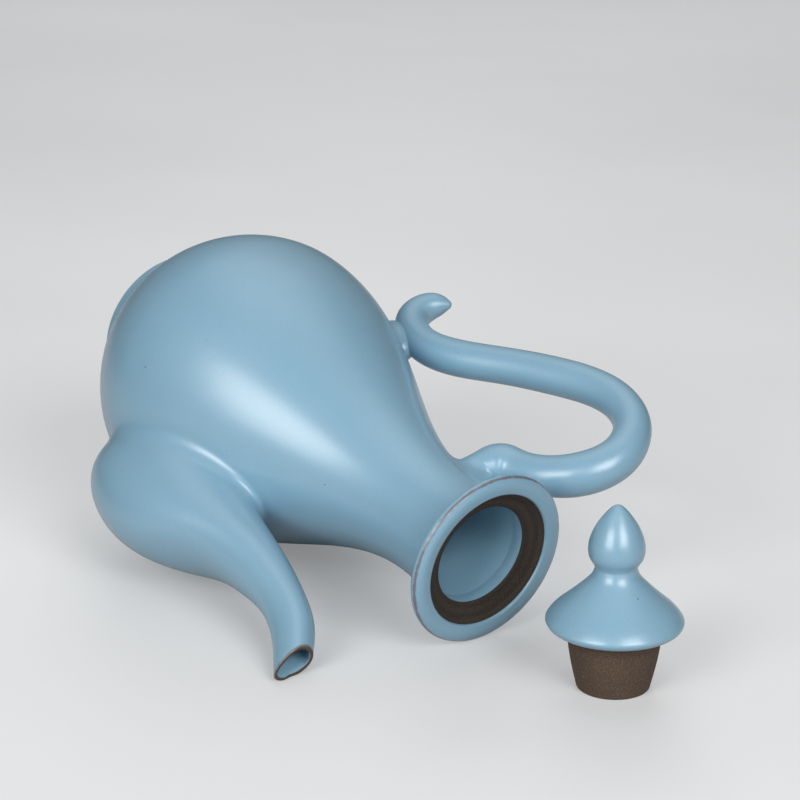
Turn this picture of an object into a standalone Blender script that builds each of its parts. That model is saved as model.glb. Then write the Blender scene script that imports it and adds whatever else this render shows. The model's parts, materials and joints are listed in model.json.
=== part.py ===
"""Celadon ewer lying on its side, with its lid standing beside the mouth.

The pot is modelled upright about its own axis (foot at z = 0, spout towards +X, handle towards -X).
It is then laid down so that belly, lip and spout tip touch the table, as it is put down to dry.
All sizes are in metres.
"""

from math import atan2, cos, degrees, pi, radians, sin, sqrt

import bmesh
import bpy
import numpy as np
from mathutils import Matrix, Vector

# Fit between pieces
JOINT_GAP = 0.0003

# Fineness of the turned pieces
TURN_STEPS = 40
LID_STEPS = 32
BODY_ROWS = 24
LINING_ROWS = 20
FORMER_ROWS = 40
LIP_ROWS = 7
CAP_ROWS = 10
CAP_ARC_ROWS = 6
KNOB_LOW_ROWS = 6
KNOB_ROWS = 10
PAD_SEGMENTS = 20
PAD_ROWS = 10
SHARP_ANGLE = radians(40)

# Pot body
BELLY_R = 0.068
BELLY_Z = 0.063
BELLY_ROUNDNESS = 1.85
BELLY_DEPTH = 0.0675
BODY_WALL = 0.0050
HEEL_HEIGHT = 0.0025
NECK_R = 0.0242
NECK_Z = 0.206
NECK_WALL = 0.0045
NECK_TOP_Z = 0.228
NECK_FLARE = 0.0020

# Foot ring
FOOT_R = 0.0368
FOOT_HEIGHT = 0.0062
FOOT_WIDTH = 0.0065
FOOT_DRAFT = 0.0012
FOOT_ROUND = 0.0010
FLOOR_WALL = 0.0070
FLOOR_CURVE_HEIGHT = 0.0040
FLOOR_CURVE_WIDTH = 0.0060

# Mouth with the bare conical seat for the lid
LIP_R = 0.0376
LIP_RISE = 0.0096
LIP_Z = NECK_TOP_Z + LIP_RISE
LIP_THICKNESS = 0.0048
LIP_SWELL_SHARE = 0.3
LIP_UNDER_SHARE = 0.4
LIP_FACE_CROWN = 0.0002
SEAT_OUTER_R = 0.0296
SEAT_INNER_R = 0.0221
SEAT_DEPTH = 0.0050
SEAT_RISE = 0.0118
SEAT_Z = NECK_TOP_Z + SEAT_RISE

# Spout: two edge lines in the pot's middle plane, as (x, z), root to tip, with the half width between them
SPOUT_INNER_EDGE = ((0.038, 0.120), (0.0455, 0.1345), (0.0500, 0.1500), (0.0555, 0.1730),
                    (0.0625, 0.1960), (0.0705, 0.2135), (0.0793, 0.2243))
SPOUT_OUTER_EDGE = ((0.046, 0.054), (0.0820, 0.0600), (0.0965, 0.0950), (0.0855, 0.1350),
                    (0.0793, 0.1700), (0.0840, 0.2005), (0.0984, 0.2243))
SPOUT_HALF_WIDTH = (0.0235, 0.0240, 0.0215, 0.0160, 0.0112, 0.0082, 0.0064)
SPOUT_WALL_ROOT = 0.0065
SPOUT_WALL_TIP = 0.0019
SPOUT_POINT = 0.30
SPOUT_POINT_ONSET = 3
SPOUT_RINGS = 26
SPOUT_STEPS = 24

# Strainer: holes through the belly wall inside the spout's root
STRAINER_Z = 0.094
STRAINER_CIRCLE_R = 0.0105
STRAINER_HOLE_R = 0.0030
STRAINER_COUNT = 6
STRAINER_SIDES = 8
STRAINER_CUT_DEPTH = 0.025

# Handle coil: (distance from the body's surface, height, coil radius), neck to curled tail
HANDLE_PATH = ((-0.0068, 0.1955, 0.0088), (0.0105, 0.1963, 0.0090), (0.0151, 0.1985, 0.0097),
               (0.0161, 0.2008, 0.0094), (0.0176, 0.2058, 0.0090), (0.0190, 0.2106, 0.0089),
               (0.0291, 0.2269, 0.0091), (0.0461, 0.2339, 0.0090), (0.0653, 0.2250, 0.0082),
               (0.0750, 0.2031, 0.0082), (0.0644, 0.1748, 0.0085), (0.0419, 0.1472, 0.0083),
               (0.0178, 0.1206, 0.0083), (0.0093, 0.1024, 0.0079), (0.0151, 0.0874, 0.0074),
               (0.0230, 0.0879, 0.0065), (0.0291, 0.0920, 0.0041), (0.0316, 0.0944, 0.0018))
HANDLE_WALL = 0.0030
HANDLE_BORE_SHARE = 0.78
HANDLE_RINGS = 54
HANDLE_STEPS = 14

# Pad of clay between belly and handle
PAD_Z = 0.0955
PAD_HALF_HEIGHT = 0.0125
PAD_HALF_WIDTH = 0.0080
PAD_REACH = 0.0070

# Lid, with its heights above the plug's bottom
CAP_CLEARANCE = 0.0025
PLUG_CLEARANCE = 0.0010
PLUG_HEIGHT = 0.0224
PLUG_TAPER = 0.0041
PLUG_WALL = 0.0035
PLUG_EDGE_ROUND = 0.0007
CAP_UNDER_RISE = 0.0030
CAP_EDGE_HEIGHT = 0.0040
CAP_EDGE_ROUND = 0.0020
CAP_EDGE_END = 40
CAP_OVERHANG = 0.0004
CAP_SLOPE_HEIGHT = 0.0212
CAP_FLARE = 0.83
CAP_HOLLOW_HEIGHT = 0.0130
WAIST_R = 0.0083
KNOB_R = 0.0111
KNOB_HEIGHT = 0.0250
KNOB_LOW = 0.27
KNOB_FULLNESS = 1.87
KNOB_POINT = 0.75
LID_AHEAD = 0.0326
LID_ASIDE = 0.0142

# Lying pot: the spout's tip is looked for within this roll from straight below
ROLL_LIMIT = radians(150)
ROLL_STEP = 1e-6
CONTACT_ROWS = 200

# Colours as linear RGB, roughness
SKY_GLAZE = ((0.230, 0.412, 0.540, 1.0), 0.27)
BARE_CLAY = ((0.112, 0.076, 0.052, 1.0), 0.85)


def clear_scene():
    """Remove every object of the scene that is open."""
    for old in list(bpy.data.objects):
        bpy.data.objects.remove(old, do_unlink=True)


def material(name, finish):
    """A Principled material with one colour and roughness."""
    colour, roughness = finish
    made = bpy.data.materials.new(name)
    made.use_nodes = True
    shader = made.node_tree.nodes["Principled BSDF"]
    shader.inputs["Base Color"].default_value = colour
    shader.inputs["Roughness"].default_value = roughness
    shader.inputs["Metallic"].default_value = 0.0
    return made


def add_object(name, mesh, parent=None, finish=None):
    """Link a mesh as a named object under its parent, with a material of its own."""
    made = bpy.data.objects.new(name, mesh)
    bpy.context.scene.collection.objects.link(made)
    made.parent = parent
    if finish:
        mesh.materials.append(material(name + "_finish", finish))
        mesh.shade_smooth()
        mesh.set_sharp_from_angle(angle=SHARP_ANGLE)
    return made


def add_cutter(name, mesh, parent):
    """A shape that is only used to cut others."""
    cutter = add_object(name, mesh, parent)
    cutter.hide_render = True
    cutter.display_type = "WIRE"
    return cutter


def cut(target, cutter):
    """Take the cutter's space out of a piece."""
    step = target.modifiers.new("cut_" + cutter.name, "BOOLEAN")
    step.operation = "DIFFERENCE"
    step.object = cutter


def loft(name, rings, closed=False):
    """Skin a row of rings, which are lists of points or one single point at a pole.

    closed joins the last ring to the first, and otherwise open end rings are filled flat.
    """
    shape = bmesh.new()
    rows = [[shape.verts.new(point) for point in ring] for ring in rings]
    pairs = list(zip(rows, rows[1:]))
    if closed:
        pairs.append((rows[-1], rows[0]))
    for low, high in pairs:
        count = max(len(low), len(high))
        for i in range(count):
            j = (i + 1) % count
            corners = [low[i % len(low)], low[j % len(low)], high[j % len(high)], high[i % len(high)]]
            shape.faces.new(list(dict.fromkeys(corners)))
    if not closed:
        for ring in (rows[0], rows[-1]):
            if len(ring) > 1:
                shape.faces.new(ring)
    bmesh.ops.recalc_face_normals(shape, faces=shape.faces)
    mesh = bpy.data.meshes.new(name)
    shape.to_mesh(mesh)
    shape.free()
    return mesh


def turn(name, outline, steps, closed=False, start=0.0):
    """Turn an outline of (radius, height) points about Z, as on a wheel."""
    rings = []
    for radius, height in outline:
        if radius == 0.0:
            rings.append([(0.0, 0.0, height)])
            continue
        turns = [start + 2.0 * pi * i / steps for i in range(steps)]
        rings.append([(radius * cos(a), radius * sin(a), height) for a in turns])
    return loft(name, rings, closed)


def smooth_through(points, count):
    """Even samples of the natural cubic curve through a few points."""
    knots = np.array(points, dtype=float)
    spans = np.linalg.norm(np.diff(knots[:, :2], axis=0), axis=1)
    where = np.concatenate([[0.0], np.cumsum(spans)])
    last = len(knots) - 1
    system = np.eye(last + 1)
    right = np.zeros_like(knots)
    for i in range(1, last):
        system[i, i - 1:i + 2] = (spans[i - 1], 2.0 * (spans[i - 1] + spans[i]), spans[i])
        right[i] = 6.0 * ((knots[i + 1] - knots[i]) / spans[i] - (knots[i] - knots[i - 1]) / spans[i - 1])
    bend = np.linalg.solve(system, right)
    samples = []
    for at in np.linspace(0.0, where[-1], count):
        i = min(int(np.searchsorted(where, at, side="right")) - 1, last - 1)
        ahead = where[i + 1] - at
        behind = at - where[i]
        span = spans[i]
        value = (bend[i] * ahead ** 3 + bend[i + 1] * behind ** 3) / (6.0 * span)
        value += (knots[i] / span - bend[i] * span / 6.0) * ahead
        value += (knots[i + 1] / span - bend[i + 1] * span / 6.0) * behind
        samples.append(value)
    return np.array(samples)


def arc(centre, radii, first, last, count):
    """Points of an ellipse's arc from one angle to another, in degrees."""
    angles = np.linspace(radians(first), radians(last), count)
    return [(centre[0] + radii[0] * cos(a), centre[1] + radii[1] * sin(a)) for a in angles]


def body_radius(height):
    """Outer radius of belly and neck at a height above the foot's underside."""
    if height <= BELLY_Z:
        fall = min((BELLY_Z - height) / BELLY_DEPTH, 1.0)
        return BELLY_R * (1.0 - fall ** BELLY_ROUNDNESS) ** (1.0 / BELLY_ROUNDNESS)
    if height <= NECK_Z:
        rise = (height - BELLY_Z) / (NECK_Z - BELLY_Z)
        return NECK_R + (BELLY_R - NECK_R) * 0.5 * (1.0 + cos(pi * rise))
    rise = (height - NECK_Z) / (NECK_TOP_Z - NECK_Z)
    return NECK_R + NECK_FLARE * rise ** 2


def body_outline(low, high, count, inset=0.0, thin=0.0):
    """Points of the body's wall between two heights, set in by a wall that thins up the neck."""
    points = []
    for height in np.linspace(low, high, count):
        share = min(max((height - BELLY_Z) / (NECK_Z - BELLY_Z), 0.0), 1.0)
        points.append((body_radius(height) - inset + thin * share, float(height)))
    return points


def base_z():
    """Height of the belly's underside, just above the foot ring."""
    return FOOT_HEIGHT + JOINT_GAP


def body_shell(pot, down):
    """Hollow thrown body: a round belly drawn up into a slim neck, open at the top."""
    floor = base_z() + FLOOR_WALL
    outer = body_outline(base_z() + HEEL_HEIGHT, NECK_TOP_Z, BODY_ROWS)
    thin = BODY_WALL - NECK_WALL
    inner = body_outline(floor + FLOOR_CURVE_HEIGHT, NECK_TOP_Z, LINING_ROWS, BODY_WALL, thin)
    floor_edge = inner[0][0] - FLOOR_CURVE_WIDTH
    outline = [(0.0, base_z()), (FOOT_R, base_z())] + outer + inner[::-1]
    outline += [(floor_edge, floor), (0.0, floor)]
    return add_object("body_shell", turn("body_shell", outline, TURN_STEPS, start=down), pot, SKY_GLAZE)


def body_former(pot, down):
    """Outside of the body grown by the joint gap, to seat what is luted on it."""
    outline = [(0.0, base_z())]
    outline += [(r + JOINT_GAP, z) for r, z in body_outline(base_z(), NECK_TOP_Z, FORMER_ROWS)]
    outline.append((0.0, NECK_TOP_Z))
    return add_cutter("body_former", turn("body_former", outline, TURN_STEPS, start=down), pot)


def foot_ring(pot):
    """Turned ring that the pot stands on, with a small draft and broken edges."""
    inner = FOOT_R - FOOT_WIDTH
    outline = [(FOOT_R - FOOT_ROUND, 0.0), (FOOT_R, FOOT_ROUND), (FOOT_R + FOOT_DRAFT, FOOT_HEIGHT),
               (inner - FOOT_DRAFT, FOOT_HEIGHT), (inner, FOOT_ROUND), (inner + FOOT_ROUND, 0.0)]
    return add_object("foot_ring", turn("foot_ring", outline, TURN_STEPS, closed=True), pot, SKY_GLAZE)


def lip_outline():
    """Outer line of the mouth from the neck, under the flange and over the rounded lip."""
    low = NECK_TOP_Z + JOINT_GAP
    neck = body_radius(NECK_TOP_Z)
    below = LIP_UNDER_SHARE * LIP_THICKNESS
    swell = LIP_SWELL_SHARE * LIP_THICKNESS
    middle = LIP_R - swell
    points = []
    for share in np.linspace(0.0, 1.0, LIP_ROWS):
        out = 1.0 - sqrt(1.0 - share ** 2)
        points.append((neck + (middle - neck) * out, low + (LIP_Z - below - low) * share))
    points += arc((middle, LIP_Z), (swell, below), -60, 0, 3)
    points += arc((middle, LIP_Z), (swell, LIP_THICKNESS - below), 30, 90, 3)
    return points


def mouth_rim(pot, down):
    """Flanged mouth: rounded lip, nearly flat face and the bare cone that the lid sits on."""
    bore = body_radius(NECK_TOP_Z) - NECK_WALL
    low = NECK_TOP_Z + JOINT_GAP
    outline = lip_outline()
    crest = outline[-1][1]
    outline.append((0.5 * (LIP_R + SEAT_OUTER_R), 0.5 * (crest + SEAT_Z) + LIP_FACE_CROWN))
    outline += [(SEAT_OUTER_R, SEAT_Z), (SEAT_INNER_R, SEAT_Z - SEAT_DEPTH), (bore, low)]
    mesh = turn("mouth_rim", outline, TURN_STEPS, closed=True, start=down)
    return add_object("mouth_rim", mesh, pot, SKY_GLAZE)


def spout_rings(inset_root=0.0, inset_tip=0.0):
    """Oval rings of the spout from root to tip, set in by a wall that thins towards the tip."""
    rows = [(*i, *o, w) for i, o, w in zip(SPOUT_INNER_EDGE, SPOUT_OUTER_EDGE, SPOUT_HALF_WIDTH)]
    rings = []
    samples = smooth_through(rows, SPOUT_RINGS)
    for number, (inner_x, inner_z, outer_x, outer_z, half_width) in enumerate(samples):
        share = number / (SPOUT_RINGS - 1)
        wall = inset_root + (inset_tip - inset_root) * share
        inner = Vector((inner_x, 0.0, inner_z))
        outer = Vector((outer_x, 0.0, outer_z))
        reach = 0.5 * (outer - inner)
        reach = reach - reach.normalized() * wall
        centre = 0.5 * (inner + outer)
        ring = []
        for i in range(SPOUT_STEPS):
            a = 2.0 * pi * i / SPOUT_STEPS
            narrowing = 1.0 - SPOUT_POINT * share ** SPOUT_POINT_ONSET * cos(a)
            side = Vector((0.0, (half_width - wall) * narrowing * sin(a), 0.0))
            ring.append(centre + reach * cos(a) + side)
        rings.append(ring)
    return rings


def spout(pot, former):
    """Hollow spout with a full root, a slender S-bend and a tip cut level with the foot."""
    outside = spout_rings()
    bore = spout_rings(SPOUT_WALL_ROOT, SPOUT_WALL_TIP)
    mesh = loft("spout", outside + bore[::-1], closed=True)
    made = add_object("spout", mesh, pot, SKY_GLAZE)
    cut(made, former)
    return made


def strainer_holes(pot):
    """Cutter with a ring of small holes round a middle one, through the belly wall at the spout's root."""
    shape = bmesh.new()
    places = [(0.0, 0.0)]
    for i in range(STRAINER_COUNT):
        a = 2.0 * pi * i / STRAINER_COUNT
        places.append((STRAINER_CIRCLE_R * cos(a), STRAINER_CIRCLE_R * sin(a)))
    reach = body_radius(STRAINER_Z)
    for across, up in places:
        middle = Matrix.Translation((reach - BODY_WALL, across, STRAINER_Z + up))
        bmesh.ops.create_cone(shape, cap_ends=True, segments=STRAINER_SIDES, radius1=STRAINER_HOLE_R,
                              radius2=STRAINER_HOLE_R, depth=STRAINER_CUT_DEPTH,
                              matrix=middle @ Matrix.Rotation(pi / 2.0, 4, "Y"))
    mesh = bpy.data.meshes.new("strainer_holes")
    shape.to_mesh(mesh)
    shape.free()
    return add_cutter("strainer_holes", mesh, pot)


def handle_rings(grow=0.0):
    """Round sections along the handle's path, square to it."""
    path = [(-body_radius(height) - reach, height, radius) for reach, height, radius in HANDLE_PATH]
    samples = smooth_through(path, HANDLE_RINGS)
    ahead = np.gradient(samples[:, :2], axis=0)
    rings = []
    for (x, z, radius), (dx, dz) in zip(samples, ahead):
        across = Vector((-dz, 0.0, dx)).normalized()
        ring = []
        for i in range(HANDLE_STEPS):
            a = 2.0 * pi * i / HANDLE_STEPS
            point = Vector((x, 0.0, z)) + across * ((radius + grow) * cos(a))
            ring.append(point + Vector((0.0, (radius + grow) * sin(a), 0.0)))
        rings.append(ring)
    x, z, radius = samples[-1]
    tip = Vector((x, 0.0, z)) + Vector((ahead[-1][0], 0.0, ahead[-1][1])).normalized() * (radius + grow)
    rings.append([tip])
    return rings


def handle(pot, former):
    """Round cast coil from the neck, up and round to the shoulder, ending in a curled tail.

    Its bore opens at the neck, where the coil was drained, and ends before the shoulder.
    """
    bore = handle_rings(-HANDLE_WALL)[:round(HANDLE_BORE_SHARE * HANDLE_RINGS)]
    blind_end = sum(bore[-1], Vector()) / HANDLE_STEPS
    rings = [[blind_end]] + bore[::-1] + handle_rings()
    made = add_object("handle", loft("handle", rings), pot, SKY_GLAZE)
    cut(made, former)
    return made


def handle_pad(pot, former):
    """Small cushion of clay that carries the handle's lower end on the shoulder."""
    shape = bmesh.new()
    bmesh.ops.create_uvsphere(shape, u_segments=PAD_SEGMENTS, v_segments=PAD_ROWS, radius=1.0)
    mesh = bpy.data.meshes.new("handle_pad")
    slope = atan2(body_radius(PAD_Z - PAD_HALF_HEIGHT) - body_radius(PAD_Z + PAD_HALF_HEIGHT),
                  2.0 * PAD_HALF_HEIGHT)
    place = Matrix.Translation((-body_radius(PAD_Z), 0.0, PAD_Z)) @ Matrix.Rotation(slope, 4, "Y")
    size = Matrix.Diagonal((PAD_REACH, PAD_HALF_WIDTH, PAD_HALF_HEIGHT, 1.0))
    bmesh.ops.transform(shape, matrix=place @ size, verts=shape.verts)
    shape.to_mesh(mesh)
    shape.free()
    made = add_object("handle_pad", mesh, pot, SKY_GLAZE)
    coil = add_cutter("handle_former", loft("handle_former", handle_rings(JOINT_GAP)), pot)
    cut(made, former)
    cut(made, coil)
    return made


def plug_top_radius():
    """The plug runs free in the neck's narrowest bore."""
    return NECK_R - NECK_WALL - PLUG_CLEARANCE


def cap_radius():
    """The cap's edge lies inside the outer edge of its seat."""
    return SEAT_OUTER_R - CAP_CLEARANCE


def lid_plug(lid):
    """Bare tapered plug that hangs in the neck, hollow and open below."""
    top = plug_top_radius()
    bottom = top - PLUG_TAPER
    outline = [(bottom - PLUG_EDGE_ROUND, 0.0), (bottom, PLUG_EDGE_ROUND), (top, PLUG_HEIGHT),
               (top - PLUG_WALL, PLUG_HEIGHT), (bottom - PLUG_WALL, 0.0)]
    return add_object("lid_plug", turn("lid_plug", outline, LID_STEPS, closed=True), lid, BARE_CLAY)


def cap_line():
    """Outer line of the cap from its plug joint, out below, round the rolled edge and up the bell.

    The underside rises less than the seat's cone, so that the lid rests on its rolled edge.
    """
    low = PLUG_HEIGHT + JOINT_GAP
    half_edge = 0.5 * CAP_EDGE_HEIGHT
    points = [(plug_top_radius() + CAP_OVERHANG, low)]
    edge = (cap_radius() - CAP_EDGE_ROUND, low + CAP_UNDER_RISE + half_edge)
    points += arc(edge, (CAP_EDGE_ROUND, half_edge), -90, CAP_EDGE_END, CAP_ARC_ROWS)
    first_r, first_z = points[-1]
    for share in np.linspace(0.0, 1.0, CAP_ROWS)[1:]:
        flare = 0.5 * (1.0 + cos(pi * share ** CAP_FLARE))
        points.append((WAIST_R + (first_r - WAIST_R) * flare, first_z + CAP_SLOPE_HEIGHT * share))
    return points


def lid_cap(lid):
    """Bell-shaped cap, hollow under its crown."""
    outline = cap_line()
    hollow_r = plug_top_radius() - PLUG_WALL
    low = outline[0][1]
    top = outline[-1][1]
    dome = arc((0.0, low), (hollow_r, CAP_HOLLOW_HEIGHT), 90, 0, CAP_ARC_ROWS)
    inside = [(0.0, dome[0][1])] + dome[1:]
    mesh = turn("lid_cap", inside + outline + [(0.0, top)], LID_STEPS)
    return add_object("lid_cap", mesh, lid, SKY_GLAZE)


def lid_knob(lid):
    """Bud-shaped knob, full below and drawn to a point."""
    low = cap_line()[-1][1] + JOINT_GAP
    full_z = low + KNOB_LOW * KNOB_HEIGHT
    tip_z = low + KNOB_HEIGHT
    outline = [(0.0, low), (WAIST_R, low)]
    for share in np.linspace(0.0, 1.0, KNOB_LOW_ROWS)[1:]:
        swell = sin(0.5 * pi * share)
        outline.append((WAIST_R + (KNOB_R - WAIST_R) * swell, low + (full_z - low) * share))
    for share in np.linspace(0.0, 1.0, KNOB_ROWS)[1:-1]:
        taper = (1.0 - share ** KNOB_FULLNESS) ** KNOB_POINT
        outline.append((KNOB_R * taper, full_z + (tip_z - full_z) * share))
    outline.append((0.0, tip_z))
    return add_object("lid_knob", turn("lid_knob", outline, LID_STEPS), lid, SKY_GLAZE)


def rest_tilt():
    """Tilt of the axis, mouth down, at which lip and belly both touch the table."""
    belly = body_outline(base_z(), NECK_Z, CONTACT_ROWS)
    tilts = []
    for lip_r, lip_z in lip_outline():
        tilts.append(max(atan2(r - lip_r, lip_z - z) for r, z in belly))
    return min(tilts)


def lying_matrix(tilt, roll):
    """Place of the lying pot, its axis towards +X and its spout rolled from below towards -Y."""
    lift = max(z * sin(tilt) + r * cos(tilt) for r, z in lip_outline())
    axis = Vector((cos(tilt), 0.0, -sin(tilt)))
    down = Vector((-sin(tilt), 0.0, -cos(tilt)))
    frame = Matrix((down, axis.cross(down), axis)).transposed().to_4x4()
    return Matrix.Translation((0.0, 0.0, lift)) @ frame @ Matrix.Rotation(-roll, 4, "Z")


def rest_roll(tilt):
    """Roll at which the spout's tip comes down on the table."""
    tip = spout_rings()[-1]
    low = 0.0
    high = ROLL_LIMIT
    while high - low > ROLL_STEP:
        middle = 0.5 * (low + high)
        place = lying_matrix(tilt, middle)
        if min((place @ point).z for point in tip) < 0.0:
            low = middle
        else:
            high = middle
    return high


def world_box(objects):
    """Lowest and highest corners of the finished objects."""
    bpy.context.view_layer.update()
    graph = bpy.context.evaluated_depsgraph_get()
    points = []
    for item in objects:
        shown = item.evaluated_get(graph)
        points += [shown.matrix_world @ vertex.co for vertex in shown.data.vertices]
    cloud = np.array(points)
    return cloud.min(axis=0), cloud.max(axis=0)


def main():
    """Build the pot and the lid, lay the pot down and set the lid beside its mouth."""
    clear_scene()
    pot = add_object("pot", None)
    lid = add_object("lid", None)
    tilt = rest_tilt()
    roll = rest_roll(tilt)
    former = body_former(pot, roll)
    shell = body_shell(pot, roll)
    cut(shell, strainer_holes(pot))
    pieces = [shell, foot_ring(pot), mouth_rim(pot, roll), spout(pot, former), handle(pot, former)]
    pieces.append(handle_pad(pot, former))
    pieces += [lid_plug(lid), lid_cap(lid), lid_knob(lid)]

    pot.matrix_world = lying_matrix(tilt, roll)
    mouth = pot.matrix_world @ Vector((0.0, 0.0, SEAT_Z))
    lid.location = (mouth.x + LID_AHEAD + cap_radius(), LID_ASIDE, 0.0)

    low, high = world_box(pieces)
    shift = Vector((-0.5 * (low[0] + high[0]), -0.5 * (low[1] + high[1]), -low[2]))
    pot.location += shift
    lid.location += shift
    print("axis tilt", round(degrees(tilt), 2), "roll", round(degrees(roll), 2))


main()
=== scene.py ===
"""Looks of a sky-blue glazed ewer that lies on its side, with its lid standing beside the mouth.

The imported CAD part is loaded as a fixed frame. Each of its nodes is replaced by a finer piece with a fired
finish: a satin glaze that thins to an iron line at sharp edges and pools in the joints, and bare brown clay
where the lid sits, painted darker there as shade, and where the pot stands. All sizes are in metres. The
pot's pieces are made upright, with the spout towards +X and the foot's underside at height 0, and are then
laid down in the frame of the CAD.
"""

from __future__ import annotations

import json
import logging
from dataclasses import dataclass, field
from enum import Enum
from math import cos, hypot, pi, radians, sin, sqrt
from typing import Callable, Iterable, Mapping, Sequence, Union

import bmesh
import bpy
import numpy as np
from mathutils import Matrix, Vector
from mathutils.kdtree import KDTree

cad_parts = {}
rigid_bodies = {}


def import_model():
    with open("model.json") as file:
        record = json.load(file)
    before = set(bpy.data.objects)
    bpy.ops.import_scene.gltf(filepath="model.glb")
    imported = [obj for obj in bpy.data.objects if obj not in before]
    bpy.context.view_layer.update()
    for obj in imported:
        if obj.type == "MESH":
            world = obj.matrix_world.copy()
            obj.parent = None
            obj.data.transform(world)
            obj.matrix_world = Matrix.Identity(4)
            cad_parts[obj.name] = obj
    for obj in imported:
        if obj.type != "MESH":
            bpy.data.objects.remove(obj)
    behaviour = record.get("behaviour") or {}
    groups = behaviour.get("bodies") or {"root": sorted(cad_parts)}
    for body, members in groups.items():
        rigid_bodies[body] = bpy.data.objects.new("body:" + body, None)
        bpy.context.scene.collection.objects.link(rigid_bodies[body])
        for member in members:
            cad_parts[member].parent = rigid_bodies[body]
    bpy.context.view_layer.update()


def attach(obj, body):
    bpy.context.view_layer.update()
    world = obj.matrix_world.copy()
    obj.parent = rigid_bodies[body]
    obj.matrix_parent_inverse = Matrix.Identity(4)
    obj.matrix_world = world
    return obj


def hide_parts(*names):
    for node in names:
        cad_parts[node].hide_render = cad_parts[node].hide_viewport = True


LOG = logging.getLogger("ewer")
TURN = 2.0 * pi
QUARTER = 0.5 * pi

# Names of the values that the pieces carry on their points for the finishes
BARE = "bare"
THIN = "thin"
POOL = "pool"
ALONG = "along"

# Points nearer to each other than this become one
WELD = 2e-6
# Faces that meet at a larger angle than this keep a sharp edge between them
SHARP_ANGLE = radians(48)
# Added or kept as a least size where a division or an ordering needs more than 0
TINY = 1e-9
# Keeps a whole number from being rounded to the one below
NUDGE = 1e-4
# Height over which the slope of the pot's wall is measured, and the steepest slope that is used
PROBE = 1e-4
STEEPEST = 4.0
# Bareness of clay that was wiped or never glazed
WIPED = 1.0
# Gap between the last glazed and the first bare row of an outline
HAIR = 0.0001
BLACK = (0.0, 0.0, 0.0, 1.0)

Colour = tuple[float, float, float, float]
Place = tuple[float, float, float]
Row = tuple[float, float, float]
Pair = tuple[float, float]
Point = tuple[float, float]
Points = tuple[Point, ...]
Specks = Sequence[tuple[Vector, float]]


class Body(Enum):
    """CAD bodies that the pieces ride on."""

    POT = "pot"
    LID = "lid"


class Slot(Enum):
    """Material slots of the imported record."""

    BODY = "sky_glaze"
    FOOT = "foot_glaze"
    RIM = "rim_glaze"
    SPOUT = "spout_glaze"
    HANDLE = "handle_glaze"
    LID = "lid_glaze"
    CLAY = "bare_clay"


Finishes = Mapping[Slot, bpy.types.Material]


def math_step(operation: str, reflected: bool = False) -> Callable[..., "Wire"]:
    """Make a method of Wire that adds one Math node.

    Args:
        operation: Blender's name of the operation.
        reflected: True where the wire is the last term, as in 1 - wire.

    Returns:
        The method, which takes the other terms.
    """
    def step(wire: "Wire", *others: "Term") -> "Wire":
        """Add the Math node."""
        terms = (*others, wire) if reflected else (wire, *others)
        return wire.sheet.node("ShaderNodeMath", dict(enumerate(terms)), operation=operation)["Value"]

    return step


class Wire:
    """The value that leaves a socket, for plain arithmetic: each operator adds a Math node."""

    __add__ = math_step("ADD")
    __radd__ = math_step("ADD", reflected=True)
    __sub__ = math_step("SUBTRACT")
    __rsub__ = math_step("SUBTRACT", reflected=True)
    __mul__ = math_step("MULTIPLY")
    __rmul__ = math_step("MULTIPLY", reflected=True)
    __truediv__ = math_step("DIVIDE")
    __rtruediv__ = math_step("DIVIDE", reflected=True)
    __pow__ = math_step("POWER")
    __mod__ = math_step("MODULO")
    floor = math_step("FLOOR")
    root = math_step("SQRT")
    cosine = math_step("COSINE")
    sine = math_step("SINE")
    at_least = math_step("MAXIMUM")
    at_most = math_step("MINIMUM")

    def __init__(self, sheet: "NodeSheet", socket: bpy.types.NodeSocket) -> None:
        """Keep the socket and the sheet it is on."""
        self.sheet = sheet
        self.socket = socket

    def ease(self, low: "Term", high: "Term") -> "Wire":
        """A smooth step.

        Args:
            low: value at which the step is 0.
            high: value at which the step is 1; it may be the smaller of the two.

        Returns:
            The step, from 0 to 1.
        """
        values = {"Value": self, "From Min": low, "From Max": high}
        return self.sheet.node("ShaderNodeMapRange", values, interpolation_type="SMOOTHSTEP")["Result"]


Term = Union[Wire, float, int]


class Outputs:
    """The outputs of a node that was just made."""

    def __init__(self, sheet: "NodeSheet", made: bpy.types.Node) -> None:
        """Keep the node and its sheet."""
        self.sheet = sheet
        self.made = made

    def __getitem__(self, key: Union[str, int]) -> Wire:
        """The output of that name, identifier or number."""
        return Wire(self.sheet, NodeSheet.pick(self.made.outputs, key))


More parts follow.
